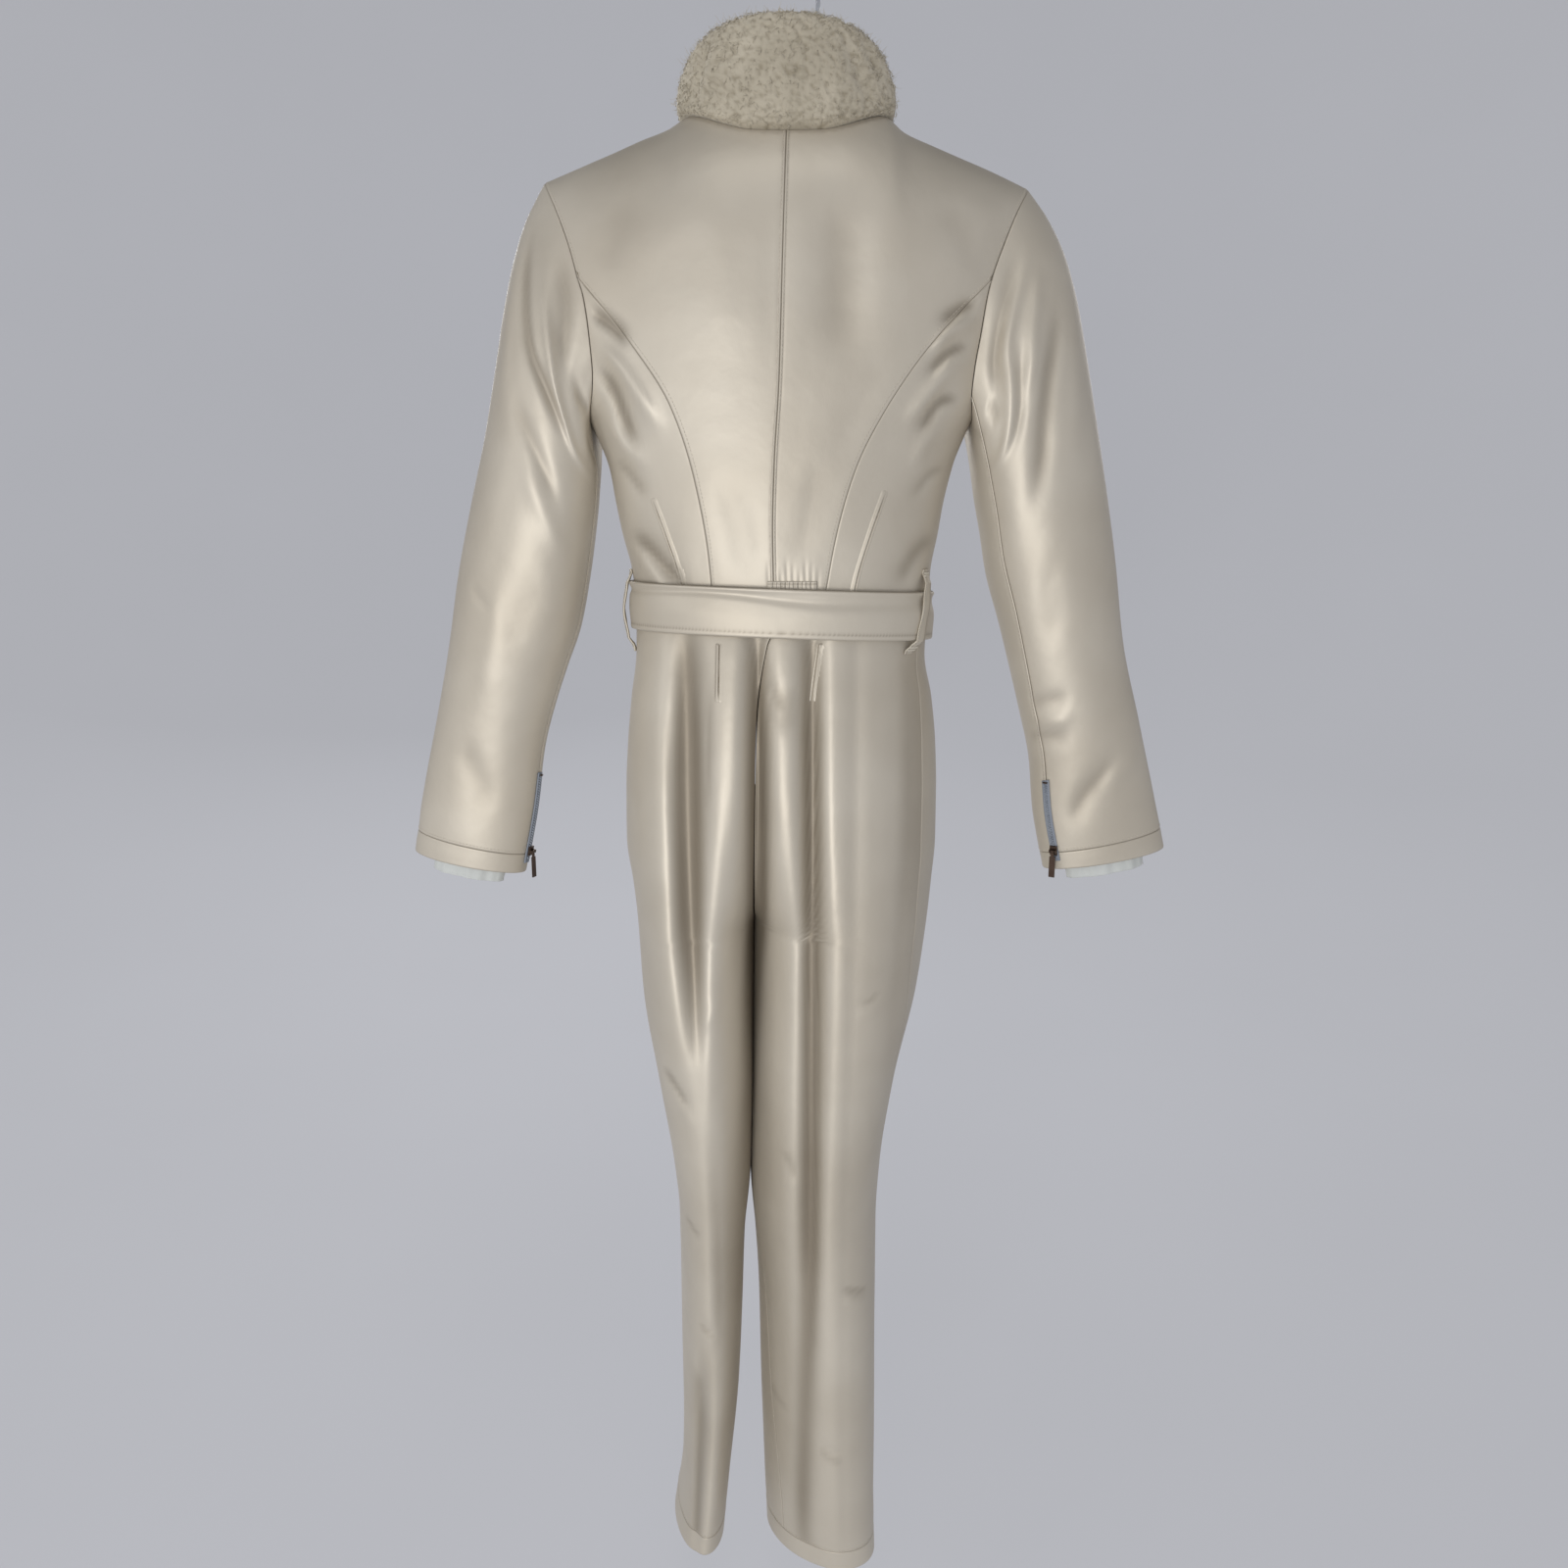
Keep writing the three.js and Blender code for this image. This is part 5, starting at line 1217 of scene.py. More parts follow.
collar = dict(
    half=72, back=48, front=55, height=49, fall=15.5, thick=10, bulge=7, gap=4.3, seam=500,
    columns=330, rows=116, clump=4.4, clumpFlat=(0.85, 0.85, 1.3), clumpHeight=1.7,
    curls=2700, curlRadius=0.3, curlSize=(0.9, 1.7), fibres=5200, fibreRadius=0.12, fibreReach=(1.5, 5.5),
    profile=[
        # share up, share out from the inside to the outside, share of the bulge
        [0.06, 1, 0.3], [0.2, 1, 0.7], [0.45, 1, 1], [0.7, 1, 0.8], [0.88, 0.98, 0.45], [0.97, 0.75, 0.1],
        [1, 0.42, 0], [0.96, 0.08, 0], [0.7, 0, 0.5], [0.35, 0, 0.6], [0, 0, 0], [0.0, 0.5, 0],
    ],
    # points as the way round in mm from the front's right side and the height from 0 to 100
    creases=[
        [[(322, 92), (334, 55), (352, 12)], 9, 7, -3.4],
        [[(312, 88), (318, 60), (326, 30)], 8, 8, 1.4],
        [[(206, 96), (188, 58), (158, 8)], 7, 9, -3.4],
        [[(182, 96), (168, 70), (150, 46)], 9, 9, -2.6],
        [[(214, 70), (206, 40), (200, 16)], 12, 12, 1.2],
        [[(262, 20), (264, 50), (256, 84)], 26, 26, 1.6],
        [[(90, 90), (84, 55), (78, 14)], 8, 8, -2.6],
        [[(420, 92), (426, 52), (434, 12)], 8, 8, -2.6],
    ],
)


def neckLoop(share):
    # The neck seam from the front's right side round the back to its left side, in four quarters
    quarters = []
    for q, (side, way, neck) in enumerate((
        ("right", 1, neckFront), ("right", -1, neckBack), ("left", -1, neckBack), ("left", 1, neckFront),
    )):
        t = np.clip(share * 4 - q, 0, 1)
        outwards = (side == "right") == (way > 0)
        quarters.append(bodicePoint(*toAngle(side, seamThrough(neck))(t if outwards else 1 - t), way))
    which = np.clip((share * 4).astype(int), 0, 3)
    return np.take_along_axis(np.stack(quarters), which[None, ..., None], 0)[0]


def closedCurve(points, share):
    # A periodic Catmull-Rom curve through the points
    points = np.array(points, float)
    count = len(points)
    at = share * count
    i, t = np.floor(at).astype(int), (at % 1)[..., None]
    a, b, c, d = (points[(i + k) % count] for k in (-1, 0, 1, 2))
    return b + 0.5 * t * (c - a + t * (2 * a - 5 * b + 4 * c - d + t * (3 * (b - c) + d - a)))


def clumpHeight(points, size, seed):
    # Cellular clumps: one seed point in each cube of this size, and 1 - (distance / size)^2 to the
    # nearest one, found among the 27 cubes round each point.
    cell = np.floor(points / size).astype(int)
    nearest = np.full(points.shape[:-1], np.inf)
    for shift in np.ndindex(3, 3, 3):
        near = cell + np.array(shift) - 1
        mixed = (near[..., 0] * 73856093) ^ (near[..., 1] * 19349663) ^ (near[..., 2] * 83492791) ^ seed
        jitter = np.stack([((mixed >> k) * 2654435761 % 4096) / 4096 for k in (0, 5, 10)], -1)
        nearest = np.minimum(nearest, np.linalg.norm(points - (near + jitter) * size, axis=-1))
    return 1 - np.minimum(nearest / size, 1) ** 2


def collarSurface(share, around):
    # Foot on the neck seam, top on two half ellipses, and the closed profile carried between them
    k = collar
    narrow = math.asin(k["gap"] / k["half"])
    angle = mix(narrow, 2 * np.pi - narrow, share)
    deep = np.where(np.cos(angle) < 0, k["back"], k["front"])
    top = np.stack([k["half"] * np.sin(angle), deep * np.cos(angle),
                    -(k["height"] + k["fall"] * (1 + np.cos(angle)))], -1)
    foot = neckLoop(share) + [0, 0, 0.4]
    turn = share * 2 * np.pi
    out = np.stack([np.sin(turn), np.cos(turn), 0 * turn], -1)
    up, outShare, bulge = np.moveaxis(closedCurve(k["profile"], around), -1, 0)
    place = mix(foot, top, up[..., None])
    folds = creaseDepth(k["creases"], share * k["seam"], up * 100)
    push = (outShare - 0.5) * k["thick"] + bulge * k["bulge"] + smoothStep(outShare) * folds
    # its two front ends round off towards the middle of the wall
    end = np.minimum(share, 1 - share) * k["seam"]
    close = np.sqrt(1 - (1 - np.clip(end / 5, 0, 1)) ** 2)[..., None]
    middle = mix(foot, top, 0.5) + out * k["bulge"] * 0.3
    return mix(middle + (place - middle) * [0.9, 0.3, 0.9], place + out * push[..., None], close)


def makeCollar():
    k = collar
    rounds = np.linspace(0, 1, k["rows"] + 1)[:-1]
    share, around = np.meshgrid(np.linspace(0, 1, k["columns"]), rounds, indexing="ij")
    points = collarSurface(share, around)
    slant = unit(np.cross(np.gradient(points, axis=0), np.roll(points, -1, 1) - np.roll(points, 1, 1)))
    middle = points.mean(1, keepdims=True)
    if np.sum(slant * (points - middle)) < 0:
        slant = -slant
    big = clumpHeight(points * k["clumpFlat"], k["clump"], 11)
    small = clumpHeight(points, k["clump"] * 0.45, 29)
    foot = smoothStep((points[..., 2] - neckLoop(share)[..., 2] + 1) / 6)
    lift = (k["clumpHeight"] * (big - 0.75) + 0.5 * (small - 0.75)) * foot
    points = points + slant * lift[..., None]
    # painted shade between the clumps and along the foot at the neck seam
    paintedShade = np.clip(1.35 - 1.9 * big, 0, 1) * 0.5 + 0.25 * (1 - foot)
    flat, out, foot = points.reshape(-1, 3), slant.reshape(-1, 3), foot.ravel()
    quads = outwardFaces(gridQuads(*share.shape, closed=True), flat, out)
    # a ring of faces to one point closes each front end
    caps, closed = [], flat
    for row, flip in ((0, False), (k["columns"] - 1, True)):
        ring = row * k["rows"] + np.arange(k["rows"])
        centre = np.full(k["rows"], len(closed))
        closed = np.concatenate([closed, closed[ring].mean(0, keepdims=True)])
        fan = np.stack([ring, np.roll(ring, -1), centre], -1)
        caps.append(fan[:, ::-1] if flip else fan)
    faces = np.concatenate([quads[:, [0, 1, 2]], quads[:, [0, 2, 3]], *caps])
    # the two end caps get a middling painted shade
    shade = np.append(paintedShade.ravel(), [0.3, 0.3])
    obj = makeObject("collar_pile", closed, faces, paintedShade=shade, material=pile)
    turnOutwards(obj)
    dress(obj, ["collar"])

    def rooted(count):
        # Random points of the pile, above its foot, with the way out there
        pick = rng.integers(0, points[:, :, 0].size, count)
        pick = pick[foot[pick] > 0.5]
        return flat[pick][:, None], out[pick][:, None]

    # curls: little arcs that leave a clump and turn back into it
    start, up = rooted(k["curls"])
    way = unit(np.cross(up, rng.normal(size=(len(up), 3))[:, None]))
    size = rng.uniform(*k["curlSize"], (len(up), 1, 1))
    lean = rng.uniform(-0.5, 0.5, (len(up), 1, 1))
    t = np.linspace(0, 1, 6)[None, :, None]
    arc = (up * 1.35 * np.sin(t * np.pi * 0.95) + way * (1.6 * t - 0.6 * np.sin(t * 5))
           + np.cross(up, way) * lean * np.sin(t * np.pi))
    curls = tubes("collar_curls", start - up * 0.5 + size * arc, k["curlRadius"], 3, pile, taper=0.4)
    dress(curls, [])

    # loose fibre ends that stand off the clumps and make the outline soft
    start, up = rooted(k["fibres"])
    way = unit(up + 0.75 * rng.normal(size=(len(up), 3))[:, None])
    bent = rng.normal(size=(len(up), 1, 3)) * 0.35
    reach = rng.uniform(*k["fibreReach"], (len(up), 1, 1))
    t = np.linspace(0, 1, 3)[None, :, None]
    fuzz = tubes("collar_fibres", start + reach * (way * t + bent * t * t), k["fibreRadius"], 3, pile)
    dress(fuzz, [])


def tubes(name, lines, radius, sides, material, taper=0.7):
    # lines is [count, points, 3]: a closed tube with pointed ends along each, joined in one mesh
    count, length = lines.shape[:2]
    way = unit(np.gradient(lines, axis=1))
    helper = np.where(np.abs(way[:, :1, 2:]) > 0.8, [1.0, 0, 0], [0, 0, 1.0])
    first = unit(np.cross(way, helper))
    second = np.cross(way, first)
    turn = np.arange(sides) / sides * 2 * np.pi
    share = np.linspace(0, 1, length)
    width = radius * np.where((share == 0) | (share == 1), taper, 1)[None, :, None, None]
    ring = (lines[:, :, None] + width * (first[:, :, None] * np.cos(turn)[:, None]
                                         + second[:, :, None] * np.sin(turn)[:, None]))
    ends = np.stack([lines[:, 0] - way[:, 0] * radius * 0.6, lines[:, -1] + way[:, -1] * radius * 0.6], 1)
    per = length * sides + 2
    points = np.concatenate([ring.reshape(count, -1, 3), ends], 1).reshape(-1, 3)
    wall = gridQuads(length, sides, closed=True)[:, ::-1]
    j = np.arange(sides)
    k = np.roll(j, -1)
    low = np.stack([k, j, np.full(sides, length * sides)], -1)
    last = (length - 1) * sides
    top = np.stack([j + last, k + last, np.full(sides, length * sides + 1)], -1)
    one = np.concatenate([wall[:, [0, 1, 2]], wall[:, [0, 2, 3]], low[:, ::-1], top[:, ::-1]])
    faces = (one[None] + np.arange(count)[:, None, None] * per).reshape(-1, 3)
    # the sign of the enclosed volume says which way the faces point
    a, b, c = (points[faces[:, i]] for i in range(3))
    if np.sum(a * np.cross(b, c)) < 0:
        faces = faces[:, ::-1]
    return makeObject(name, points, faces, material=material)


# Sewing

def alongLine(line, slant):
    # Cuts a line of points into stitches: each covers a share of its pitch and bows up a little
    k = stitchLook
    length = lengthsAlong(line)
    starts = np.arange(k["pitch"] / 2, length[-1] - k["pitch"], k["pitch"])
    t = np.array([0, 0.3, 0.7, 1.0])
    at = starts[:, None] + t * k["pitch"] * k["cover"]
    bow = (k["rise"] * np.sin(t * np.pi) - 0.05)[None, :, None]
    return readAlong(at, length, line) + readAlong(at, length, slant) * bow


stitchLook = dict(pitch=3.2, cover=0.72, rise=0.3, radius=0.24, column=5)


def edgeStitches(name, edge):
    # The stitch row that lies one welt's width from a piece's edge
    grid, k = clothGrids[name], stitchLook["column"]
    pick = dict(first=np.s_[:, k], last=np.s_[:, -1 - k], bottom=np.s_[-1 - k, :])[edge]
    return alongLine(grid["points"][pick], grid["slant"][pick])


def makeStitches():
    rows = [
        edgeStitches(f"{name}_{side}", edge)
        for side in sideSign
        for name, edge in (("back", "first"), ("front", "first"), ("sleeve", "first"), ("back", "last"),
                           ("sleeve", "bottom"), ("back_leg", "bottom"), ("front_leg", "bottom"))
    ]
    dress(tubes("edge_stitches", np.concatenate(rows), stitchLook["radius"], 4, thread), [])


# Darts

darts = dict(
    # points as across and drop on the piece's own cloth
    side_back_left=[(-114.5, 418), (-101, 455), (-91, 487), (-87, 508)],
    side_back_right=[(84.5, 412), (72, 448), (61, 484), (56.5, 506)],
    back_leg_left=[(-57, 540), (-57.5, 565), (-58, 592)],
    back_leg_right=[(28, 540), (25, 566), (21.5, 593)],
)


def onCloth(grid, points):
    # Drops points along Y onto the plane of the nearest cloth point; gives them and their slant.
    flat, slant = grid["points"].reshape(-1, 3), grid["slant"].reshape(-1, 3)
    shape = points.shape
    points = points.reshape(-1, 3)
    gap = np.linalg.norm((flat[None, :, ::2] - points[:, None, ::2]), axis=-1)
    nearest = np.argmin(gap, 1)
    a, n = flat[nearest], slant[nearest]
    y = a[:, 1] - ((points[:, 0] - a[:, 0]) * n[:, 0] + (points[:, 2] - a[:, 2]) * n[:, 2]) / n[:, 1]
    return np.stack([points[:, 0], y, points[:, 2]], -1).reshape(shape), n.reshape(shape)


dartOffsets = np.array([-4, -2.6, -1.5, -0.8, -0.35, 0, 0.35, 0.7, 1.2, 1.7, 2.2, 2.6, 3.4, 4.4, 5.6])


def makeDarts():
    # A dart is a fold sewn down to a point: a dip with a low welt beside it, that fades to its tip
    d = dartOffsets
    for name, line in darts.items():
        t = np.linspace(0, 1, 60)
        across, drop = seamThrough(line)(t)
        way = unit(np.stack([np.gradient(across), np.gradient(drop)], -1))
        onSide = name.startswith("side")
        beside = d if name.endswith("left") == onSide else -d
        place = np.stack([across[:, None] + way[:, 1:] * beside, 0 * t[:, None] * d,
                          way[:, :1] * beside - drop[:, None]], -1)
        base, slant = onCloth(clothGrids[name], place)
        tip = t if onSide else 1 - t
        fade = (smoothStep(tip / 0.25) * smoothStep((1 - tip) / 0.04 + 0.3))[:, None]
        bed = 0.5 - 0.9 * smoothStep((np.abs(d - 0.8) - 1.6) / 2.6)
        relief = bed + fade * (0.5 * ridgeAt(d, 1.2, 1, 4) - 0.7 * ridgeAt(d, 0, 0.5))
        ends = smoothStep(np.minimum(t, 1 - t) / 0.05)[:, None]
        relief = relief * ends - 0.7 * (1 - ends)
        # painted shade in the dart's seam and in its stitch row
        paintedShade = fade * (ridgeAt(d, 0, 0.5) + 0.35 * ridgeAt(d, 2.4, 0.4))
        length = lengthsAlong(base[:, 0])[-1]
        uv = np.stack(np.broadcast_arrays(d - d[0], t[:, None] * length), -1) * metre
        grid = dict(points=base + slant * relief[..., None], uv=uv, paintedShade=paintedShade, slant=slant)
        obj = clothPiece(f"dart_{name}", grid, satin, wall=0.5)
        dress(obj, [])


# Belt, its tail and loops, and the elastic tab

belt = dict(half=134.8, deep=77, drop=516, tilt=0.035, middle=-4, width=42, thick=2.4, power=2.2,
            tailAway=2.9, tailTurn=(3.02, 4.3))


def beltPoint(turn, up, away):
    # A superellipse round the waist that tilts a little across; turn 0 is the centre back.
    k = belt
    power = 2 / k["power"]
    x = k["middle"] + (k["half"] + away) * np.sign(np.sin(turn)) * np.abs(np.sin(turn)) ** power
    y = -(k["deep"] + away) * np.sign(np.cos(turn)) * np.abs(np.cos(turn)) ** power
    return np.stack(np.broadcast_arrays(x, y, -(k["drop"] + k["tilt"] * x) + up), -1)


def beltRelief(u, across, down):
    # A rolled top edge, a shallow trough under it that wanders, a soft crown, and two rows of stitches above
    # the lower edge, with painted shade along the top edge and in the stitch rows
    lower = belt["width"] - down
    wander = 2.4 * np.sin(across / 62 + 0.8) + 1.3 * np.sin(across / 27)
    wide = 4.2 + 1.6 * np.sin(across / 90 + 2)
    lift = 1.1 * ridgeAt(down, 1.9, 1.7) - 1.5 * ridgeAt(down, 8.5 + wander, wide)
    lift += ridgeAt(down, 23, 11) - 0.7 * smoothStep(1 - down / 1.4) - 0.6 * smoothStep(1 - lower / 1.2)
    beat = 0.6 + 0.4 * np.cos(across * 2 * np.pi / seamLook["stitchPitch"])
    paintedShade = 0.6 * ridgeAt(down, 0, 0.6)
    for row in (4.2, 6.6):
        lift -= 0.45 * ridgeAt(lower, row, 0.55) * beat
        paintedShade = np.maximum(paintedShade, 0.7 * ridgeAt(lower, row, 0.5) * beat)
    return lift, paintedShade


def makeBelt():
    half = belt["width"] / 2
    look = dict(step=1.5, relief=beltRelief, axis=lambda z: np.stack([0 * z + belt["middle"], 0 * z, z], -1))
    whole = lambda u, v: beltPoint((u * 2 + 1) * np.pi, mix(half, -half, v), belt["thick"])
    sewnPiece("belt", whole, wall=belt["thick"], closed=True, **look)
    away = belt["tailAway"] + belt["thick"]
    tail = lambda u, v: beltPoint(mix(*belt["tailTurn"], u), mix(half, -half, v) * 0.98, away)
    sewnPiece("belt_tail", tail, wall=belt["thick"], **look)


loops = dict(
    left=dict(top=1.48, bottom=1.46, bow=4.5),
    right=dict(top=1.2, bottom=1.02, bow=1.2),
    half=0.062, start=480, end=553, wall=1.6,
)


def loopPoint(side, t, u, thick):
    # From the bodice over the belt to the trousers: it lies on the cloth at both ends.
    sign, k = sideSign[side], loops[side]
    turn = np.minimum(mix(k["top"], k["bottom"], t) + u * loops["half"], np.pi / 2)
    drop = mix(loops["start"], loops["end"], t)
    bow = k["bow"] * np.sin(t * np.pi) ** 2
    over = beltPoint(sign * turn, 0 * t, belt["thick"] + 0.6 + bow + thick)
    over = np.stack([over[..., 0], over[..., 1], -drop], -1)
    high = bodicePoint(sign * turn, drop, -1)
    low = legPoint(side, drop, np.pi / 2 - turn, -1)
    out = unit(np.stack([sign * np.sin(turn), -np.cos(turn) * 1.6, 0 * turn], -1))
    rest = np.where((t < 0.5)[..., None], high, low) + out * (0.7 + thick)
    lie = np.clip((np.abs(t - 0.5) - 0.34) / 0.12, 0, 1)[..., None]
    return mix(over, rest, lie)


def loopRelief(u, across, down):
    # A stitched row beside each edge with painted shade in it, edges rounded down, and a crushed place under
    # each tack
    near = np.minimum(across, across[:, -1:] - across)
    lift = 0.35 * np.sin(down / 5 + across / 7) - 0.6 * smoothStep(1 - near / 1.2)
    lift -= 0.4 * ridgeAt(near, 2, 0.5) + 0.5 * (ridgeAt(down, 3.2, 1.6) + ridgeAt(down, 70, 1.6))
    return lift, 0.6 * ridgeAt(near, 2, 0.5)


def threadBetween(row):
    # A stitch from each point of a row to its next one
    a, b = row[:-1], row[1:]
    return np.stack([a, mix(a, b, 0.3), mix(a, b, 0.7), b], 1)


def makeLoops():
    sewing = []
    for side in sideSign:
        shape = lambda u, v: loopPoint(side, v, mix(-1, 1, u), loops["wall"])
        sewnPiece(f"belt_loop_{side}", shape, wall=loops["wall"], step=0.9, relief=loopRelief, axis=upright)
        # bar tacks: 14 close stitches across each end, sewn over by a short row
        for t in (0.045, 0.075, 0.925, 0.955):
            zigzag = t + 0.012 * np.where(np.arange(15) % 2, 1, -1)
            row = loopPoint(side, zigzag, np.linspace(-0.85, 0.85, 15), loops["wall"] + 0.25)
            sewing.append(threadBetween(row))
        # overlock: a zigzag of thread over the edge beside the side seam on the left loop, and over
        # the one nearer the centre back on the right loop
        edge = mix(0.98, 0.62, np.arange(66) % 2) * -sideSign[side]
        sewing.append(threadBetween(loopPoint(side, np.linspace(0.1, 0.9, 66), edge, loops["wall"] + 0.3)))
    dress(tubes("loop_sewing", np.concatenate(sewing), 0.32, 5, thread), [])


tab = dict(left=-16, right=26, top=489, bottom=512, away=1.9, wall=1.4, pleat=3.6)


def makeTab():
    def shape(u, v):
        drop = mix(tab["top"], tab["bottom"], v)
        angle = bodiceAngle(mix(tab["left"], tab["right"], u), drop)
        return bodicePoint(angle, drop, -1) - [0, tab["away"], 0]

    def relief(u, across, down):
        # elastic inside gathers it in small upright pleats, which fade at its sewn ends; its stitch row gets
        # painted shade
        pleats = 0.45 * np.cos(across * 2 * np.pi / tab["pleat"] + 0.5 * np.sin(down / 3))
        ends = smoothStep(np.minimum(u, 1 - u) / 0.12)
        row = ridgeAt(down, 2.2, 0.6)
        return pleats * ends - 0.3 * row - 0.5 * smoothStep(1 - down / 1.2), 0.5 * row
    sewnPiece("waist_tab", shape, wall=tab["wall"], step=0.7, relief=relief, axis=upright)


# Zips

zips = dict(width=7, thick=3, depth=2.2, frontTop=82, collarEnd=168, pitch=2.4, tooth=(2.5, 1.25, 1.5),
            start=0.845, end=0.985, sleeveRise=2.15)
collarEdge = curveThrough([zips["frontTop"], 100, 125, 148, zips["collarEnd"]], [60, 61.5, 63, 65, 68])


def frontZipLine(drop):
    # On the collar's front edge, then the bodice's front, then between the trousers' fronts
    upper = np.stack([bodice["middle"](drop), collarEdge(drop), -drop], -1)
    chest = bodicePoint(0 * drop, np.clip(drop, zips["collarEnd"], body["waist"]), 1)
    angle = innerAngle("left", drop, 1)
    low = np.stack([seat["middle"](drop), legPoint("left", drop, angle, 1)[..., 1], -drop], -1)
    chest = np.where((drop <= zips["collarEnd"])[..., None], upper, chest)
    return np.where((drop <= body["waist"])[..., None], chest, low)


def sleeveFrame(side, share, angle):
    # A place on the sleeve, the way out there, and the millimetres in a radian round it
    small = dict(angle=0.02, share=0.004)
    at = sleeveEllipse(side, share, angle)
    turned = sleeveEllipse(side, share, angle + small["angle"]) - at
    along = sleeveEllipse(side, share + small["share"], angle) - at
    out = unit(np.cross(along, turned))
    middle = mix(sleeveEllipse(side, share, 0 * angle), sleeveEllipse(side, share, 0 * angle + np.pi), 0.5)
    out = np.where(np.sum(out * (at - middle), -1, keepdims=True) < 0, -out, out)
    return at, out, np.linalg.norm(turned, axis=-1) / small["angle"]


def teethAlong(name, line, across, out):
    # Coil teeth: chamfered blocks that lean in from both sides by turns, one each half pitch
    long, high, wide = zips["tooth"]
    length = lengthsAlong(line)
    at = np.arange(1.5, length[-1] - 1.5, zips["pitch"] / 2)
    place, side, up = (readAlong(at, length, values) for values in (line, across, out))
    side, up = unit(side), unit(up)
    along = unit(np.cross(side, up))
    place = place + side * np.where(np.arange(len(at)) % 2, 0.65, -0.65)[:, None]
    corner = np.array([[-1, -1], [1, -1], [1, 1], [-1, 1]], float)
    layers = [(1.0, 0.0), (1.0, 0.55), (0.62, 1.0)]
    block = np.concatenate([np.c_[corner * size, np.full(4, height)] for size, height in layers])
    block = block * [long / 2, wide * 0.32, high]
    points = (place[:, None] + side[:, None] * block[:, :1] + along[:, None] * block[:, 1:2]
              + up[:, None] * block[:, 2:])
    one = np.concatenate([gridQuads(3, 4, closed=True), [[0, 1, 2, 3]], [[11, 10, 9, 8]]])
    quads = (one[None] + np.arange(len(at))[:, None, None] * len(block)).reshape(-1, 4)
    obj = makeObject(name, points.reshape(-1, 3), quads, material=toothFinish)
    turnOutwards(obj)
    for polygon in obj.data.polygons:
        polygon.use_smooth = False
    dress(obj, [])


def zipPiece(name, node, shape, wall, step, axis):
    grid = clothGrid(shape, {}, step=step, relief=tapeRelief, axis=axis)
    dress(clothPiece(name, grid, tape, wall=wall), [node])


def tapeRelief(u, across, down):
    # A low bed for the teeth between a fold on each side
    middle = across - across[:, -1:] / 2
    return -0.45 * ridgeAt(middle, 0, 1.9, 4) - 0.25 * smoothStep((np.abs(middle) - 3) / 0.5), 0 * across


def makeZips():
    half = zips["width"] / 2
    rise = zips["thick"] - zips["depth"]
    shape = lambda u, v: (frontZipLine(mix(zips["frontTop"], body["zipEnd"], v))
                          + np.stack([mix(-half, half, u), 0 * u + rise, 0 * u], -1))
    zipPiece("front_zip_tape", "front_zip", shape, zips["depth"], 1.2, upright)
    drop = np.linspace(zips["frontTop"] + 14, body["zipEnd"] - 3, 400)
    line = frontZipLine(drop) + [0, rise - 0.5, 0]
    teethAlong("front_zip_teeth", line, np.tile([1.0, 0, 0], (400, 1)), np.tile([0, 1.0, 0], (400, 1)))
    for side in sideSign:
        angle = sleeveShape["zipAngle"][side]

        def sleeveTape(u, v):
            share = mix(zips["start"], zips["end"], v)
            perAngle = sleeveFrame(side, share, 0 * share + angle)[2]
            at, out = sleeveFrame(side, share, angle + mix(-half, half, u) / perAngle)[:2]
            return at + out * (zips["sleeveRise"] - 0.3)
        zipPiece(f"sleeve_{side}_zip_tape", f"sleeve_{side}_zip", sleeveTape, 1.2, 1.0, sleeveAxis(side))
        share = np.linspace(zips["start"] + 0.004, zips["end"] - 0.004, 90)
        at, out = sleeveFrame(side, share, 0 * share + angle)[:2]
        across = np.cross(unit(np.gradient(at, axis=0)), out)
        teethAlong(f"sleeve_{side}_zip_teeth", at + out * (zips["sleeveRise"] - 0.6), across, out)
        # the dark stop at the zip's upper end
        top = at[0] + out[0] * (zips["sleeveRise"] - 0.2)
        bar = np.stack([top + across[0] * reach + out[0] * up
                        for reach, up in ((-2.2, 0.6), (-1, 1), (1, 1), (2.2, 0.6))])
        dress(tubes(f"sleeve_{side}_zip_stop", bar[None], 0.9, 8, bronze), [])


# Inner cuffs

cuffTable = table(["at", "share", "past", "wide", "deep"], [
    [0, 0.89, 0, 1, 0.9],
    [0.3, 0.93, 0, 0.8, 0.78],
    [0.55, 0.965, 0, 0.71, 0.7],
    [0.8, 1, 0, 0.69, 0.66],
    [1, 1, 14, 0.68, 0.64],
])
cuffLook = dict(inset=2.6, wall=1.2, pleats=7)


def cuffPoint(side, v, angle):
    # An ellipse inside the sleeve, pleated by 0.9 cos(7a) near its lower end
    share, past = cuffTable["share"](v), cuffTable["past"](v)
    a, b = sleeveEllipse(side, share, 0 * angle), sleeveEllipse(side, share, 0 * angle + np.pi)
    reach = (a - b) / 2
    across = np.linalg.norm(reach, axis=-1) * cuffTable["wide"](v) - cuffLook["inset"]
    settle = smoothStep((v - 0.45) / 0.3)
    pleat = settle * (0.9 * np.cos(angle * cuffLook["pleats"]) + 0.5 * np.cos(angle * 17 + 1 + 3 * v))
    out = sleeves[side]["depth"](share) * cuffTable["deep"](v) - cuffLook["inset"] + pleat
    axis = unit(np.stack([-reach[..., 2], 0 * share, reach[..., 0]], -1))
    axis = np.where(axis[..., 2:] > 0, -axis, axis)
    return ((a + b) / 2 + unit(reach) * (across * np.cos(angle))[..., None]
            - np.array([0, 1.0, 0]) * (out * np.sin(angle))[..., None] + axis * past[..., None])


def makeCuffs():
    for side in sideSign:
        shape = lambda u, v: cuffPoint(side, v, u * 2 * np.pi)
        relief = lambda u, across, down: (-0.35 * ridgeAt(down[-1:] - down, 3, 0.6), 0 * across)
        sewnPiece(f"storm_cuff_{side}", shape, wall=cuffLook["wall"], closed=True, step=2.0, relief=relief,
                  axis=sleeveAxis(side))


# Hook, sliders, tabs and buckle

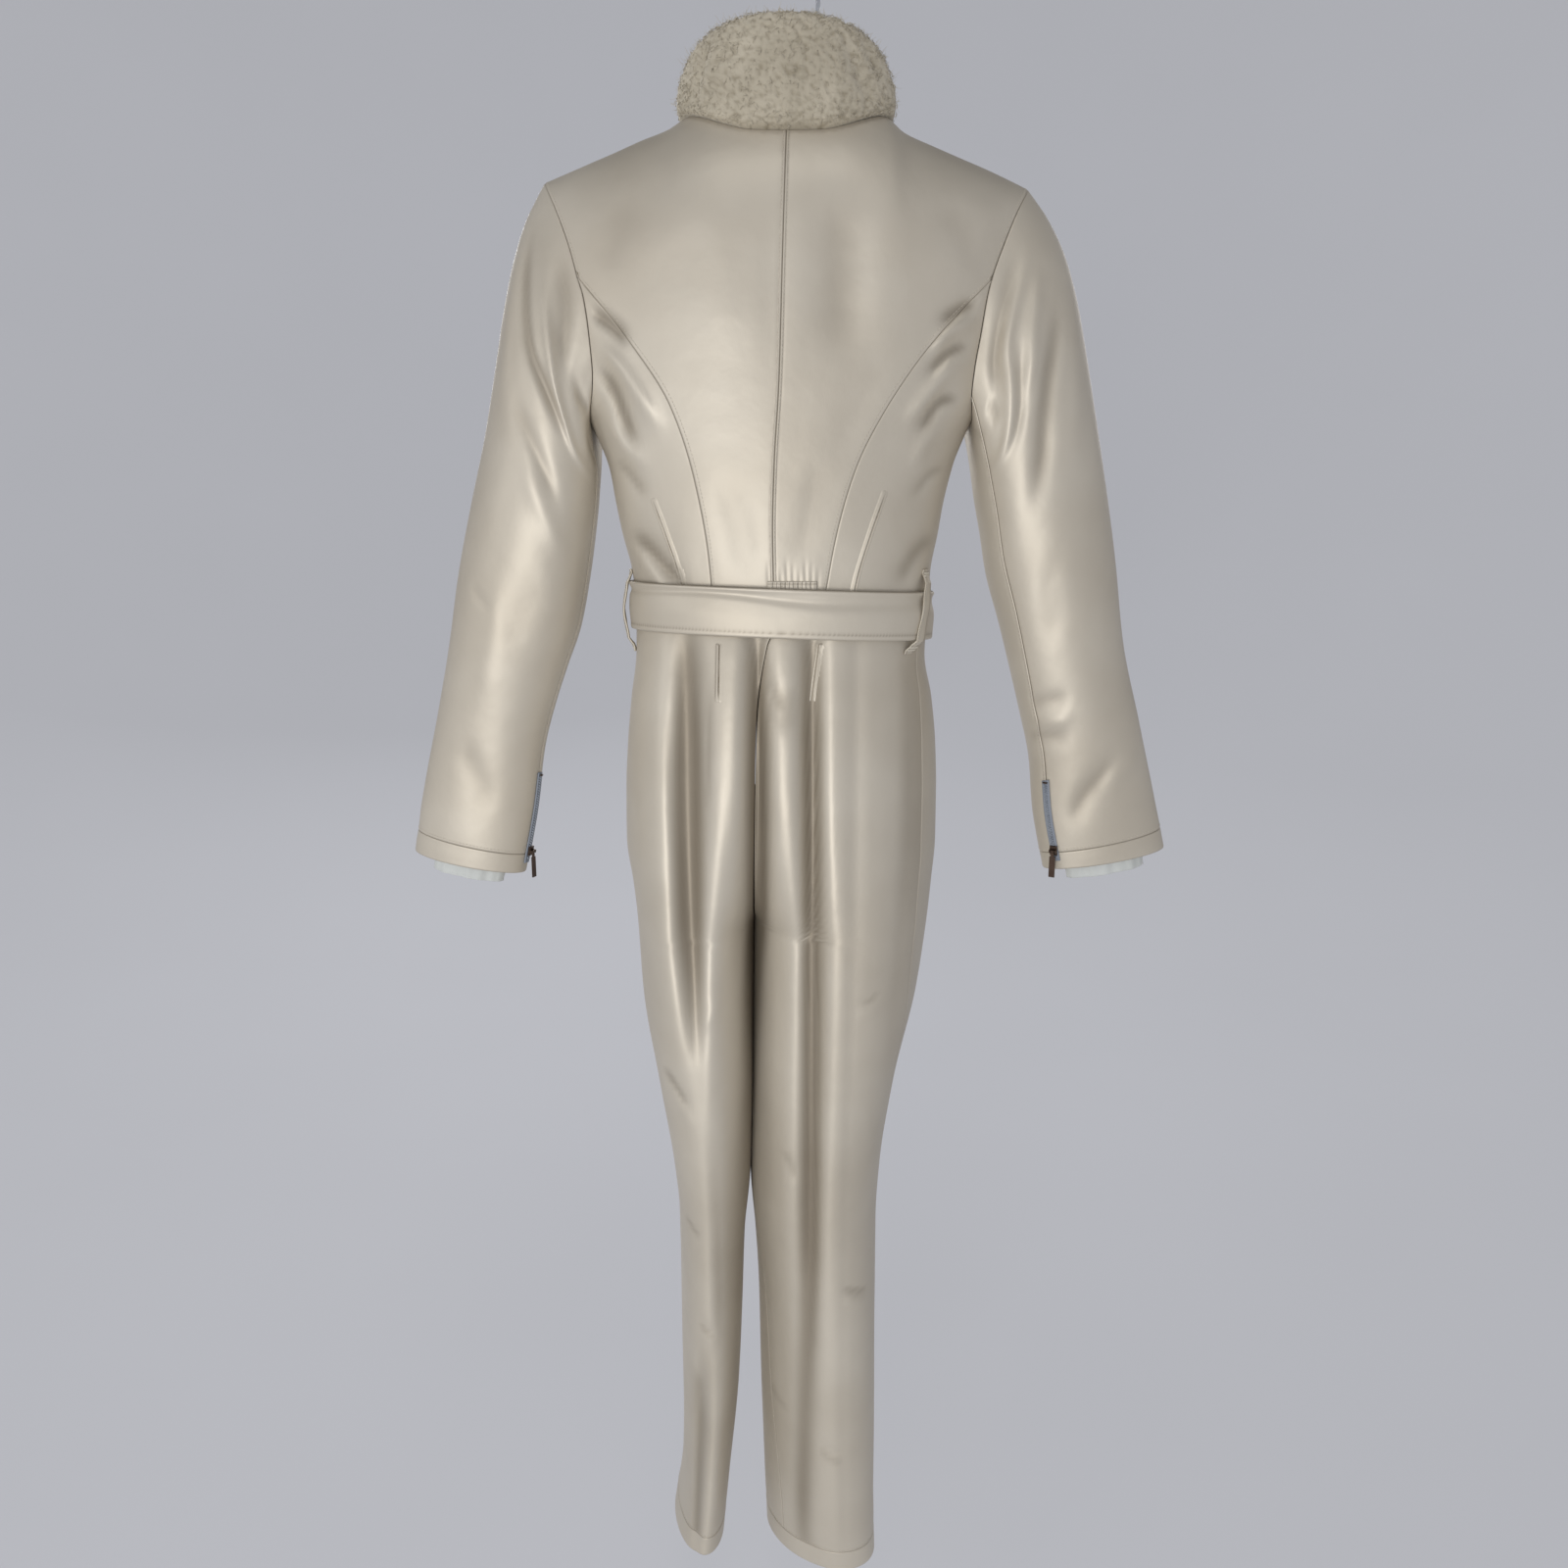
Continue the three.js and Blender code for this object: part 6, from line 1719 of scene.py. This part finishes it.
hook = dict(radius=26, wire=1.85, steps=260, sides=24, arc=(166, -48),
            shank=[[6.5, 0, -51], [0, 0, -64], [0, 0, -84], [0, 0, -103]])


def makeHook():
    # An arc about the hook's middle, then a smooth run down to the bar. Between two key points the
    # line is the sum of both, weighted by smoothStep, and of what their tangents add.
    middle = -(hook["radius"] - hook["wire"])
    turn = np.radians(np.linspace(*hook["arc"], 15))
    arc = np.stack([hook["radius"] * np.cos(turn), 0 * turn, middle + hook["radius"] * np.sin(turn)], -1)
    keys = np.concatenate([arc, hook["shank"]])
    length = lengthsAlong(keys)
    at = np.linspace(0, length[-1], hook["steps"])
    tangent = np.gradient(keys, length, axis=0)
    i = np.clip(np.searchsorted(length, at, side="right") - 1, 0, len(keys) - 2)
    span = (length[i + 1] - length[i])[:, None]
    t = (at[:, None] - length[i][:, None]) / span
    line = (mix(keys[i], keys[i + 1], smoothStep(t))
            + t * (1 - t) ** 2 * span * tangent[i] + t * t * (t - 1) * span * tangent[i + 1])
    obj = tubes("hook_wire", line[None], hook["wire"], hook["sides"], wireFinish, taper=0.8)
    dress(obj, ["hanger_hook"])


def softenedCopy(node, bodyOf, width):
    # A merged copy of a hard piece with its edges rounded by a bevel
    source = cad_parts[node]
    name = f"rounded_{node}"
    shape = bmesh.new()
    shape.from_mesh(source.data)
    shape.transform(source.matrix_world)
    bmesh.ops.remove_doubles(shape, verts=shape.verts, dist=0.000005)
    bmesh.ops.dissolve_limit(shape, angle_limit=math.radians(4), verts=shape.verts, edges=shape.edges)
    mesh = bpy.data.meshes.new(name)
    shape.to_mesh(mesh)
    shape.free()
    mesh.materials.append(bronze)
    obj = placeObject(name, mesh)
    bevel = obj.modifiers.new("rounded", "BEVEL")
    bevel.width = width * metre
    bevel.segments = 3
    bevel.limit_method = "ANGLE"
    bevel.angle_limit = math.radians(35)
    dress(obj, [node], bodyOf=bodyOf)


# Each hard piece's body and the width of its rounded edges
hardPieces = dict(
    belt_buckle=("garment", 0.7),
    front_slider=("garment", 0.22), front_pull=("front_tab", 0.25),
    sleeve_left_slider=("garment", 0.22), sleeve_left_pull=("left_cuff_tab", 0.25),
    sleeve_right_slider=("garment", 0.22), sleeve_right_pull=("right_cuff_tab", 0.25),
)

makeCollar()
print("collar ready")
makeDarts()
makeStitches()
print("sewing ready")
makeBelt()
makeLoops()
makeTab()
print("belt ready")
makeZips()
makeCuffs()
print("zips and cuffs ready")
makeHook()
for node, (bodyOf, width) in hardPieces.items():
    softenedCopy(node, bodyOf, width)
print("metal ready")

# The hanger's bar stays as its solid.

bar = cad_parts["hanger_bar"]
bar.data.materials.clear()
bar.data.materials.append(hangerFinish)

print("pieces ready")
